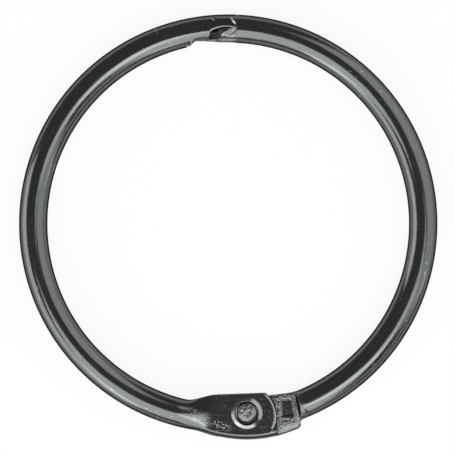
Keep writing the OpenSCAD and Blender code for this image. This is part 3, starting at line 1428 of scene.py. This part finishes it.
@dataclass
class Fork:
    """The other end of the left half, where the sheet opens into two cheeks."""

    tube: RolledTube = field(default_factory=RolledTube)
    fork: ForkSizes = FORK
    first: float = -110.0
    web_rows: int = 68
    cheek_rows: int = 44
    end_rows: tuple[float, ...] = (0.46, 0.34, 0.25, 0.17, 0.1, 0.05, 0.02, 0.0)
    margin_turn: float = 129.0
    bend_turn: float = 146.0
    ledge_turn: float = 158.0
    web_turn: float = 166.0
    bend: float = 66.0
    bend_r: float = 0.3
    bend_least: float = 0.04
    bend_out: float = 0.25
    ledge: Pair = (0.7, 0.76)
    edge_r: float = 0.4
    end_out: float = 0.5
    margin_span: Pair = (2.6, 5.6)
    margin_short: float = 0.1
    search_end: float = -70.0
    search_step: float = 0.02

    def _inner(self, a: float) -> float:
        """Finds the fork's inner edge.

        Args:
            a: angle round the ring.

        Returns:
            Its radius.
        """
        x = share(a, *self.fork.inner_span)
        edge = self.tube.sizes.inner_edge
        straight = (edge - self.fork.inner_rise) / cos_d(a - self.fork.inner_facing)
        return mixed(edge, straight, 1 - (1 - x) ** 2)

    def _outer(self, a: float) -> float:
        """Radius of the fork's outer edge at an angle round the ring."""
        x = share(a, *self.fork.outer_span)
        return self.tube.sizes.outer_edge + self.fork.outer_rise * sin_d(90 * x)

    def _section(self, turn: float, a: float, outer: bool) -> Pair:
        """Finds a point of the section.

        Args:
            turn: angle round the tube that the point had before it was flattened.
            a: angle round the ring.
            outer: whether it is on the outside of the sheet.

        Returns:
            Its radius from the ring's centre, and its z.
        """
        sizes, fork = self.tube.sizes, self.fork
        inset = 0.0 if outer else sizes.sheet_t
        half = min(turn, 360 - turn)
        side = 1 if turn <= 180 else -1
        r = sizes.tube_r - inset
        margin = self._outer(a) - fork.margin_w
        if half < self.margin_turn:
            lie = share(half, self.tube.turns()[0], self.margin_turn)
            flat = (mixed(self._inner(a), margin + self.bend_out - inset, lie), fork.half - inset)
        else:
            out, height = self._margin(half, inset)
            flat = (margin + out, height)
        t = eased(a, *fork.flat_span)
        radius = mixed(sizes.ring_r - r * cos_d(half), flat[0], t)
        return radius, side * mixed(r * sin_d(half), flat[1], t)

    def _margin(self, half: float, inset: float) -> Pair:
        """Finds a point of the margin, which bends sharply off the face and bulges at its foot.

        Args:
            half: angle round the tube that the point had before it was flattened.
            inset: its depth in the sheet.

        Returns:
            How far out it lies, and its height.
        """
        rise, width = self.fork.half - inset, self.fork.margin_w - inset
        radius, start = max(self.bend_r - inset, self.bend_least), self.bend_out - inset
        if half < self.bend_turn:
            turn = self.bend * share(half, self.margin_turn, self.bend_turn)
            return start + radius * sin_d(turn), rise - radius * (1 - cos_d(turn))
        out, height = start + radius * sin_d(self.bend), rise - radius * (1 - cos_d(self.bend))
        at = self.tube.turns()[self.web_column]
        ledge_out, ledge_z = self.ledge[0] - inset, self.ledge[1]
        if half <= self.ledge_turn:
            down = share(half, self.bend_turn, self.ledge_turn)
            return mixed(out, ledge_out, down), mixed(height, ledge_z, down)
        low = self.fork.slot_half * (1 - share(half, at, 180.0))
        full = width * math.sqrt(1 - (low / rise) ** 2)
        if half <= at:
            down = share(half, self.ledge_turn, at)
            return mixed(ledge_out, full, down), mixed(ledge_z, low, down)
        return full, low

    @property
    def web_column(self) -> int:
        """The column along which the rolled margin is slit for the blade."""
        return self.tube.column_at(self.web_turn)

    def _depth(self, radius: float, a: float) -> float:
        """Tells how far a place of the cheek's face lies in from the edge of its end.

        Args:
            radius: the place's radius.
            a: its angle round the ring.

        Returns:
            The distance, which is below 0 outside.
        """
        x, y = self.tube.sizes.from_pivot(radius, a)
        if y < 0:
            return self.fork.end_r
        depth = self.fork.end_r - math.hypot(x - self.end_out, y)
        low, high = self.margin_span
        return max(depth, self.fork.end_r - self.margin_short - y) if low < x < high else depth

    def _stop(self, turn: float) -> float:
        """Finds where a column of the cheek ends.

        Args:
            turn: the column's angle round the plain tube.

        Returns:
            The angle round the ring at which it ends.
        """
        a = self.tube.sizes.pivot_angle
        while a < self.search_end and self._depth(self._section(turn, a, True)[0], a) > 0:
            a += self.search_step
        return a

    def _point(self, turn: float, a: float, outer: bool) -> Point:
        """Makes a point of the fork, with the rounded edge of the cheek's end.

        Args:
            turn: the column's angle round the plain tube.
            a: angle round the ring.
            outer: whether it is on the outside of the sheet.

        Returns:
            The point, in millimetres.
        """
        radius, z = self._section(turn, a, outer)
        if outer:
            drop = rounded_drop(max(self._depth(radius, a), 0.0), self.edge_r)
            z -= math.copysign(drop, z)
        return polar(radius, a, z)

    def build(self) -> bpy.types.Object:
        """Builds the fork without the rivet's seats.

        Returns:
            The fork.
        """
        turns = self.tube.turns()
        before = [self.tube.sizes.along(distance) for distance in self.end_rows]
        web = stepped(self.first, self.fork.web_end, self.web_rows)[:-1]
        columns = []
        for turn in turns:
            stop = self._stop(turn)
            cheek = stepped(self.fork.web_end, stop - before[0], self.cheek_rows)[:-1]
            columns.append((turn, web + cheek + [stop - angle for angle in before]))
        outer, inner = (
            [[self._point(turn, a, face) for a in angles] for turn, angles in columns]
            for face in (True, False)
        )
        slit, last = self.web_column, len(turns) - 2

        def kept(column: int, row: int) -> bool:
            """Leaves the slit for the blade open past the end of the web."""
            return row < self.web_rows or not slit <= column <= last - slit

        return sheet_object("fork", outer, inner, kept, (False, True))


@dataclass
class LeftHalf:
    """The half ring with the socket and the fork, as one rolled sheet."""

    tube: RolledTube = field(default_factory=RolledTube)
    fork: ForkSizes = FORK
    seat_hole_r: float = 0.9
    dish_out: float = 0.1
    collar_in: float = 0.17
    collar_top: float = 0.8
    collar_fall: float = 0.6
    collar_steps: int = 16
    play: float = 0.02

    def _seat(self, side: int) -> bpy.types.Object:
        """Builds the dished seat in one cheek, with its raised rim.

        Args:
            side: 1 for the front cheek and -1 for the back one.

        Returns:
            The seat.
        """
        t, half, r = self.tube.sizes.sheet_t, self.fork.half, self.fork.seat_d / 2
        floor, head_r = self.fork.slot_half, self.fork.head_d / 2
        dish_r = head_r + self.dish_out
        profile = [(self.seat_hole_r, floor), (dish_r, floor), (r, half - t)]
        for x in stepped(0.0, 1.0, self.collar_steps):
            fall = self.collar_fall * share(x, self.collar_top, 1.0) ** 2
            rise = share(x, 0.0, self.collar_top) - fall
            radius = mixed(r + self.play, head_r + self.collar_in, x)
            profile.append((radius, half + self.fork.collar_h * rise))
        profile += [
            (dish_r + self.play, floor + t + self.play), (head_r + self.play, floor + t),
            (self.seat_hole_r, floor + t),
        ]
        profile = [(radius, side * z) for radius, z in profile]
        return lathed(f"seat_{side}", profile, self.tube.sizes.pivot)

    def build(self, material: bpy.types.Material) -> bpy.types.Object:
        """Builds the half ring as one piece.

        Args:
            material: the finish.

        Returns:
            The piece.
        """
        end, fork = SocketEnd(self.tube), Fork(self.tube)
        start, stop = self.tube.sizes.past_joint(end.reach), 360 + fork.first
        cheeks = fork.build()
        tube = self.tube.build("left_tube", start, stop, material)
        piece = joined("left_half_ring", [end.build(), tube, cheeks])
        tidy_mesh(piece, 2e-6)
        drill(piece, self.fork.seat_d / 2)
        piece = joined("left_half_ring", [piece, self._seat(1), self._seat(-1)])
        dress(piece, material)
        return piece


# ---- The right half


@dataclass
class Blade:
    """The flat blade that turns in the fork, and the crushed step where it swells to the tube.

    The edge gives how far the outer edge is set in at each height, where 1 is the face.
    """

    sizes: RingSizes = SIZES
    thickness: float = 1.0
    end_r: float = 2.6
    shank_hole_r: float = 0.95
    spread: Pair = (0.58, 0.08)
    spread_bend: float = 1.4
    outer_inset: float = 0.18
    outer_span: Pair = (-78.0, -72.0)
    wide: float = -77.0
    corner: float = -71.6
    corner_r: float = 0.7
    stop: float = -70.0
    tube_start: float = -68.2
    mark_angle: float = -72.2
    mark_turn: float = -14.0
    mark_r: float = 27.15
    mark_size: Pair = (2.4, 1.6)
    mark_depth: float = 0.1
    mark_grow: Pair = (0.91, 1.09)
    end_steps: int = 40
    edge_steps: int = 12
    edge: tuple[Pair, ...] = (
        (0.52, 1.0), (0.42, 0.98), (0.3, 0.88), (0.2, 0.72), (0.1, 0.44), (0.0, 0.1),
    )
    step_root: Pair = (1.2, 0.7)
    step_start: float = 0.3
    step_over: float = 0.6
    step_rise: Point = (0.04, 0.34, 0.66)
    step_rows: int = 14
    step_points: int = 72
    step_square: Pair = (0.55, 0.35)
    step_lean: float = 0.35

    def _inner(self, a: float) -> float:
        """Radius of the blade's inner edge at an angle."""
        x = share(a, self.wide, self.stop) ** self.spread_bend
        return self.sizes.inner_edge - mixed(*self.spread, x)

    def _outer(self, a: float) -> float:
        """Finds the blade's outer edge, with its rounded corner.

        Args:
            a: angle round the ring.

        Returns:
            Its radius.
        """
        x = share(a, self.corner, self.stop)
        drop = self.corner_r * (1 - math.sqrt(1 - x * x))
        inset = self.outer_inset * share(a, *self.outer_span)
        return self.sizes.outer_edge + FORK.outer_rise - inset - drop

    def _plate(self) -> bpy.types.Object:
        """Builds the plain blade, with a round end about the rivet.

        Returns:
            The blade.
        """
        pivot, arc, half = self.sizes.pivot, self.edge_steps, self.thickness / 2
        fixed = []
        for i in range(self.end_steps + 1):
            turn = self.sizes.pivot_angle - 180.0 * i / self.end_steps
            fixed.append((pivot.x + self.end_r * cos_d(turn), pivot.y + self.end_r * sin_d(turn)))
        fixed += [polar(self._inner(a), a)[:2] for a in stepped(self.wide, self.stop, arc)]
        outward = [mixed(self.corner, self.stop, sin_d(90 * i / arc)) for i in range(arc, 0, -1)]
        outward += stepped(self.corner, self.wide, arc)
        sections = []
        for inset, level in self.edge + tuple((inset, -level) for inset, level in self.edge[::-1]):
            outline = fixed + [polar(self._outer(a) - inset, a)[:2] for a in outward]
            sections.append([(x, y, half * level) for x, y in outline])
        return lofted("blade", sections)

    def _mark(self, side: int) -> bpy.types.Object:
        """Builds what the tool mark takes out of one face.

        Args:
            side: 1 for the front and -1 for the back.

        Returns:
            The piece to take away.
        """
        length, width = self.mark_size
        place = Vector(polar(self.mark_r, self.mark_angle))
        turn = Matrix.Rotation(math.radians(self.mark_angle + self.mark_turn), 3, "Z")
        sections = []
        for off, grow in zip((-self.mark_depth, self.mark_depth), self.mark_grow):
            loop = []
            for out, across in ((-1, -1), (1, -1), (1, 1), (-1, 1)):
                local = Vector((out * length, across * width, 0.0)) * grow / 2
                local.z = side * (self.thickness / 2 + off)
                loop.append(tuple(place + turn @ local))
            sections.append(loop)
        return lofted("mark", sections)

    def _step(self) -> bpy.types.Object:
        """Builds the crushed step.

        Returns:
            The step.
        """
        sizes = self.sizes
        gentle, knee, steep = self.step_rise
        rows = [(self.stop - before, 0.0) for before in self.step_root]
        for v in stepped(0.0, 1.0, self.step_rows):
            rise = mixed(gentle, knee, share(v, 0.0, 0.5)) + steep * sin_d(90 * share(v, 0.5, 1.0))
            rows.append((mixed(self.stop - self.step_start, self.tube_start, v), rise))
        rows.append((self.tube_start + self.step_over, 1.0))
        sections = []
        for angle, t in rows:
            inner, outer = self._inner(angle), self._outer(angle)
            middle, half_w = (inner + outer) / 2, (outer - inner) / 2
            lean = self.step_lean if 0.0 < t < 1.0 else 0.0
            loop = []
            for i in range(self.step_points):
                u = 360 * i / self.step_points
                c, s = cos_d(u), sin_d(u)
                flat_r = middle + half_w * math.copysign(abs(c) ** self.step_square[0], c)
                flat_z = self.thickness / 2 * math.copysign(abs(s) ** self.step_square[1], s)
                radius = mixed(flat_r, sizes.ring_r + sizes.tube_r * c, t)
                bend = angle - lean * (radius - sizes.ring_r)
                loop.append(polar(radius, bend, mixed(flat_z, sizes.tube_r * s, t)))
            sections.append(loop)
        return lofted("crushed_step", sections)

    def build(self) -> bpy.types.Object:
        """Builds the blade and its step, with the tool marks and the rivet's hole.

        Returns:
            The blade.
        """
        blade = self._plate()
        for side in (1, -1):
            combine(blade, self._mark(side), Cut.TAKE)
        drill(blade, self.shank_hole_r)
        combine(blade, self._step(), Cut.ADD)
        return blade


@dataclass
class Tongue:
    """The tongue: a flat foot, a bevelled face, and the doubled rib above it.

    Each span is the stretch past the joint over which one width or height passes into another.
    """

    sizes: RingSizes = SIZES
    closure: ClosureSizes = CLOSURE
    frame: ClosureFrame = field(default_factory=ClosureFrame)
    start: float = -2.3
    steps: int = 104
    nose_l: float = 0.6
    nose_taper: float = 0.3
    nose_rise: float = 0.1
    root_half_w: float = 1.02
    root_span: Pair = (1.8, 3.5)
    notch_w: float = 0.5
    notch_depth: float = 0.18
    top: tuple[Pair, ...] = (
        (-2.6, 0.06), (0.1, 0.06), (0.9, -0.02), (1.45, -0.4), (2.3, -1.0), (3.0, -1.15),
        (6.6, -1.15), (7.2, -1.45),
    )
    crease_l: float = 2.8
    crease_below: Pair = (0.12, 0.3)
    crease_span: Pair = (2.5, 3.6)
    face_half_w: float = 1.42
    face_drop: float = 1.12
    lip_slope: float = 0.2
    lip_span: Pair = (2.6, 3.6)
    shelf_half_w: Point = (0.85, 0.44, 0.26)
    shelf_span: Pair = (4.2, 5.6)
    shelf_in: float = 0.07
    rib: Pair = (0.4, -0.95)
    rib_span: Pair = (2.4, 5.3)
    rib_above: float = 0.12

    def _side(self, s: float) -> list[Pair]:
        """Finds one side of the section, from the foot up.

        Args:
            s: straight distance past the joint.

        Returns:
            Its points, as height above the tube's centre line and half width.
        """
        closure = self.closure
        nose = share(s, closure.tongue_l - self.nose_l, closure.tongue_l)
        body = mixed(self.root_half_w, closure.tongue_half_w, eased(s, *self.root_span))
        body -= self.nose_taper * nose
        body -= bell(s, closure.tooth_at, self.notch_w) * self.notch_depth
        top = through(self.top, s, eased)
        crease = closure.crease_level(min(max(s, 0.0), self.crease_l))
        near, far = self.crease_below
        crease = mixed(min(crease, top - near), top - far, eased(s, *self.crease_span))
        face = mixed(self.face_half_w, body, share(-top, 0.0, self.face_drop))
        lip = max(body, face - self.lip_slope * (top - crease))
        lip = mixed(lip, body, eased(s, *self.lip_span))
        wide, narrow, at_nose = self.shelf_half_w
        shelf = mixed(wide, mixed(narrow, at_nose, nose), eased(s, *self.shelf_span))
        shelf = min(shelf, face - self.shelf_in)
        rib = max(mixed(*self.rib, eased(s, *self.rib_span)), top + self.rib_above)
        foot = closure.foot + self.nose_rise * nose
        return [
            (foot, body - 0.16), (foot + 0.06, body - 0.08), (crease - 0.05, body + 0.01),
            (crease, lip), (top - 0.04, face), (top + 0.01, face - 0.05),
            (top + 0.05, shelf - 0.04), (rib - 0.05, shelf), (rib, shelf - 0.07),
        ]

    def build(self) -> bpy.types.Object:
        """Builds the tongue from its root inside the tube to its nose.

        Returns:
            The tongue.
        """
        limit = self.sizes.tube_r - self.closure.inset
        sections = []
        for s in stepped(self.start, self.closure.tongue_l, self.steps):
            side = self._side(s)
            loop = side + [(height, -width) for height, width in reversed(side)]
            sections.append([self.frame.point(s, height, width, limit) for height, width in loop])
        return lofted("tongue", sections)


@dataclass
class RightHalf:
    """The half ring with the blade and the tongue."""

    tube: RolledTube = field(default_factory=RolledTube)
    closure: ClosureSizes = CLOSURE
    frame: ClosureFrame = field(default_factory=ClosureFrame)
    skin_steps: tuple[int, int] = (26, 44)
    skin_bend: float = 1.6
    skin_edge: float = 0.2
    skin_least: float = 0.3
    skin_back: float = 0.02
    flange_r: float = 1.95
    flange_span: Pair = (-0.02, 0.085)
    flange_edge: Pair = (0.01, 0.005)
    neck_turns: Sequence[int] = range(92, 269, 4)
    rim: tuple[Pair, ...] = ((-0.16, 0.0), (-0.1, 0.01), (-0.05, 0.035), (-0.02, 0.07), (0.0, 0.12))

    def _skin(self, side: int) -> bpy.types.Object:
        """Builds the part of the tube's wall that runs on past the joint below the mouth.

        Args:
            side: 1 for the front and -1 for the back.

        Returns:
            The skin.
        """
        closure, sizes = self.closure, self.tube.sizes
        columns, rows = self.skin_steps

        def point(k: int, s: float, r: float) -> Point:
            """Makes a point of the skin.

            Args:
                k: its column.
                s: its distance along the ring.
                r: radius of the face of the sheet.

            Returns:
                The point, in millimetres.
            """
            foot = self.frame.turn_where(s, r, lambda distance: closure.foot)
            high = self.frame.turn_where(s, r, closure.crease_level)
            low = max(foot, sizes.seam_turn)
            t = 1 - (1 - k / columns) ** self.skin_bend
            turn = mixed(low, max(high, low + self.skin_least), t)
            return sizes.tube_point(r, side * turn, sizes.past_joint(s))

        places = stepped(-self.skin_back, closure.skin_l - self.skin_back, rows)
        outer, inner = (
            [[point(k, s, r) for s in places] for k in range(columns + 1)]
            for r in (sizes.tube_r - closure.inset, sizes.bore_r)
        )
        outer[-1] = [between(a, b, self.skin_edge) for a, b in zip(outer[-1], inner[-1])]
        return sheet_object(f"skin_{side}", outer, inner)

    def _neck(self) -> bpy.types.Object:
        """Builds the short sleeve inside both tubes that backs the gap at the joint.

        Returns:
            The sleeve.
        """
        closure, sizes = self.closure, self.tube.sizes
        snug, loose = sizes.bore_r + closure.inset, sizes.bore_r - closure.neck_play
        start, stop = self.flange_span
        outside = (
            (-closure.neck_root_l, snug), (start - self.flange_edge[0], snug),
            (start, self.flange_r), (stop, self.flange_r), (stop + self.flange_edge[1], loose),
            (closure.neck_l, loose),
        )
        inside = [(s, loose - closure.neck_t) for s, _ in outside]
        outer, inner = (
            [
                [sizes.tube_point(r, turn, sizes.past_joint(s)) for s, r in face]
                for turn in self.neck_turns
            ]
            for face in (outside, inside)
        )
        return sheet_object("neck", outer, inner)

    def _rim(self) -> bpy.types.Object:
        """Builds the rounded end of the tube at the joint.

        Returns:
            The rim.
        """
        sizes, turns = self.tube.sizes, self.tube.turns()
        sections = []
        for s, drop in self.rim:
            angle = sizes.past_joint(s)
            loop = [sizes.tube_point(sizes.tube_r - drop, turn, angle) for turn in turns]
            back = [sizes.tube_point(sizes.bore_r, turn, angle) for turn in reversed(turns)]
            sections.append(loop + back)
        return lofted("rim", sections)

    def build(self, material: bpy.types.Material) -> bpy.types.Object:
        """Builds the half ring as one piece.

        Args:
            material: the finish.

        Returns:
            The piece.
        """
        blade = Blade(self.tube.sizes)
        start = blade.tube_start + blade.step_start
        stop = self.tube.sizes.past_joint(self.rim[0][0])
        tube = self.tube.build("right_tube", start, stop, material)
        close_ends(tube)
        parts = [tube, blade.build(), self._rim(), Tongue().build(), self._neck()]
        piece = joined("right_half_ring", parts + [self._skin(1), self._skin(-1)])
        dress(piece, material)
        return piece


# ---- The rivet


@dataclass
class Rivet:
    """The rivet, its heads hammered and uneven.

    Each dent gives the fineness and the depth of one layer of hammer marks.
    """

    sizes: RingSizes = SIZES
    shank_r: float = 0.9
    head_r: float = 1.38
    head_off: float = 0.17
    seat_z: float = 1.0
    head_h: float = 0.62
    dome_drop: float = 0.22
    edge_at: float = 0.93
    edge_drop: float = 0.3
    dents: tuple[Pair, ...] = ((1.7, 0.09), (4.1, 0.05))
    rings: int = 30
    steps: int = 110

    def _top(self, radius: float, turn: float, side: int) -> float:
        """Finds the height of a head's face, with its hammer marks.

        Args:
            radius: the place's distance from the axis.
            turn: its angle round the axis.
            side: 1 for the front head and -1 for the back one.

        Returns:
            Its height above the middle plane.
        """
        out = radius / self.head_r
        level = self.seat_z + self.head_h - self.dome_drop * out**4
        level -= self.edge_drop * share(out, self.edge_at, 1.0)
        spot = Vector((radius * cos_d(turn), radius * sin_d(turn), 7.0 * side))
        dents = sum(noise.noise(spot * fineness) * depth for fineness, depth in self.dents)
        return level + dents * (1 - out**6)

    def _ring(self, radius: float, side: int, on_head: bool, hammered: bool) -> list[Point]:
        """Makes one ring of points.

        Args:
            radius: its radius.
            side: 1 for the front and -1 for the back.
            on_head: whether it is set off the axis, as the heads are.
            hammered: whether it lies on a head's face. Otherwise it is level with the seat.

        Returns:
            The points, in millimetres.
        """
        centre, off = self.sizes.pivot, self.head_off if on_head else 0.0
        points = []
        for i in range(self.steps):
            turn = 360 * i / self.steps
            z = side * (self._top(radius, turn, side) if hammered else self.seat_z)
            points.append((centre.x + radius * cos_d(turn), centre.y + radius * sin_d(turn) + off, z))
        return points

    def build(self, material: bpy.types.Material) -> bpy.types.Object:
        """Builds the rivet.

        Args:
            material: the finish.

        Returns:
            The piece.
        """
        radii = [self.head_r * j / self.rings for j in range(1, self.rings + 1)]
        sections = [self._ring(radius, -1, True, True) for radius in radii]
        for radius, side in (
            (self.head_r, -1), (self.shank_r, -1), (self.shank_r, 1), (self.head_r, 1),
        ):
            sections.append(self._ring(radius, side, radius > self.shank_r, False))
        sections += [self._ring(radius, 1, True, True) for radius in reversed(radii)]
        piece = lofted("hinge_rivet_piece", sections)
        dress(piece, material)
        return piece


# ---- The studio


@dataclass(frozen=True)
class SoftBox:
    """One rectangular lamp.

    Args:
        name: the lamp's name.
        azimuth: where it stands round the ring, in degrees from +X.
        elevation: its height above the floor, in degrees.
        distance: its distance, in metres.
        width: its width, in metres.
        height: its height, in metres.
        glow: how bright its face is, where 1 is white.
    """

    name: str
    azimuth: float
    elevation: float
    distance: float
    width: float
    height: float
    glow: float

    def build(self) -> None:
        """Puts the lamp up, facing the ring."""
        lamp = bpy.data.lights.new(self.name, "AREA")
        lamp.shape = "RECTANGLE"
        lamp.size = self.width
        lamp.size_y = self.height
        lamp.energy = self.glow * math.pi * self.width * self.height
        obj = new_object(self.name, lamp)
        place = Vector(polar(cos_d(self.elevation), self.azimuth, sin_d(self.elevation)))
        obj.location = place * self.distance
        obj.rotation_euler = place.to_track_quat("Z", "Y").to_euler()


@dataclass
class Studio:
    """Floor, lamps, room light and camera.

    Args:
        floor_z: height of the floor, in metres.
        floor_half: half the floor's width, in metres.
        floor_shade: how pale the floor is.
        floor_glow: how much of the floor glows by itself where the camera or the metal sees it.
        room_light: strength of the even light from all round.
        camera_distance: height of the camera, in metres.
        frame_width: width of what it sees, in metres.
        centre: the middle of what it sees, in mm.
        lamps: the lamps.
    """

    floor_z: float = -0.00203
    floor_half: float = 0.6
    floor_shade: float = 0.86
    floor_glow: float = 0.9
    room_light: float = 0.17
    camera_distance: float = 0.42
    frame_width: float = 0.0638
    centre: Pair = (-0.17, -0.48)
    lamps: tuple[SoftBox, ...] = (
        SoftBox("front_box", -97.0, 46.0, 0.7, 0.9, 0.84, 2.1),
        SoftBox("left_box", 203.0, 17.0, 0.7, 1.15, 0.46, 2.1),
        SoftBox("right_box", 18.0, 31.0, 0.7, 1.1, 0.82, 1.15),
        SoftBox("top_box", -42.0, 67.0, 0.7, 0.34, 0.28, 2.0),
        SoftBox("low_strip", -45.0, 18.0, 0.7, 0.8, 0.10, 1.5),
    )

    def _floor(self) -> bpy.types.Object:
        """Builds a plain pale floor that stays pale in the metal too.

        Returns:
            The floor.
        """
        h, z = self.floor_half / MM, self.floor_z / MM
        corners = [(-h, -h, z), (h, -h, z), (h, h, z), (-h, h, z)]
        floor = mesh_object("floor", corners, [(0, 1, 2, 3)])
        material = bpy.data.materials.new("pale_floor")
        material.use_nodes = True
        nodes = material.node_tree.nodes
        nodes.remove(nodes["Principled BSDF"])
        tree = Tree(material.node_tree)
        rays = nodes.new("ShaderNodeLightPath").outputs
        camera, glossy, through_glass = (
            Wire(tree, rays[f"Is {kind} Ray"]) for kind in ("Camera", "Glossy", "Transmission")
        )
        seen = camera.at_least(glossy).at_least(through_glass)
        shade, white = (*[self.floor_shade] * 3, 1.0), (1.0, 1.0, 1.0, 1.0)
        matt = tree.node("ShaderNodeBsdfDiffuse", None, {"Color": shade})
        glow = tree.node("ShaderNodeEmission", None, {"Color": white, "Strength": 1.0})
        blend = tree.node("ShaderNodeMixShader", None, {0: seen * self.floor_glow, 1: matt, 2: glow})
        tree.feed(nodes["Material Output"], {"Surface": blend})
        floor.data.materials.append(material)
        return floor

    def _room(self) -> None:
        """Sets dim even light from all round."""
        world = bpy.data.worlds.new("room")
        bpy.context.scene.world = world
        world.use_nodes = True
        light = world.node_tree.nodes["Background"]
        light.inputs["Color"].default_value = (1.0, 1.0, 1.0, 1.0)
        light.inputs["Strength"].default_value = self.room_light

    def _camera(self) -> None:
        """Puts a long lens straight above the ring."""
        camera = bpy.data.cameras.new("camera")
        camera.sensor_width = 36.0
        camera.lens = camera.sensor_width * self.camera_distance / self.frame_width
        camera.clip_start = 0.01
        camera.clip_end = 10.0
        obj = new_object("camera", camera)
        obj.location = (self.centre[0] * MM, self.centre[1] * MM, self.camera_distance)
        bpy.context.scene.camera = obj

    def build(self) -> None:
        """Sets the studio up."""
        self._floor()
        self._room()
        for lamp in self.lamps:
            lamp.build()
        self._camera()
        bpy.context.scene.view_settings.view_transform = "Standard"


# ---- The scene


def report(piece: bpy.types.Object) -> None:
    """Logs a finished piece's number of triangles."""
    piece.data.calc_loop_triangles()
    log.info("%s: %d triangles", piece.name, len(piece.data.loop_triangles))


def main() -> None:
    """Loads the frame, builds each piece and says what it rides on."""
    logging.basicConfig(level=logging.INFO, format="%(name)s: %(message)s")
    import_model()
    plating = DarkPlating().material()
    steel = PeenedSteel().material()

    left = LeftHalf().build(plating)
    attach(left, "fixed_half")
    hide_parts("socket_half")
    report(left)

    right = RightHalf().build(plating)
    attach(right, "swinging_half")
    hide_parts("tongue_half")
    report(right)

    rivet = Rivet().build(steel)
    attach(rivet, "fixed_half")
    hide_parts("hinge_rivet")
    report(rivet)

    Studio().build()


if __name__ == "__main__":
    main()
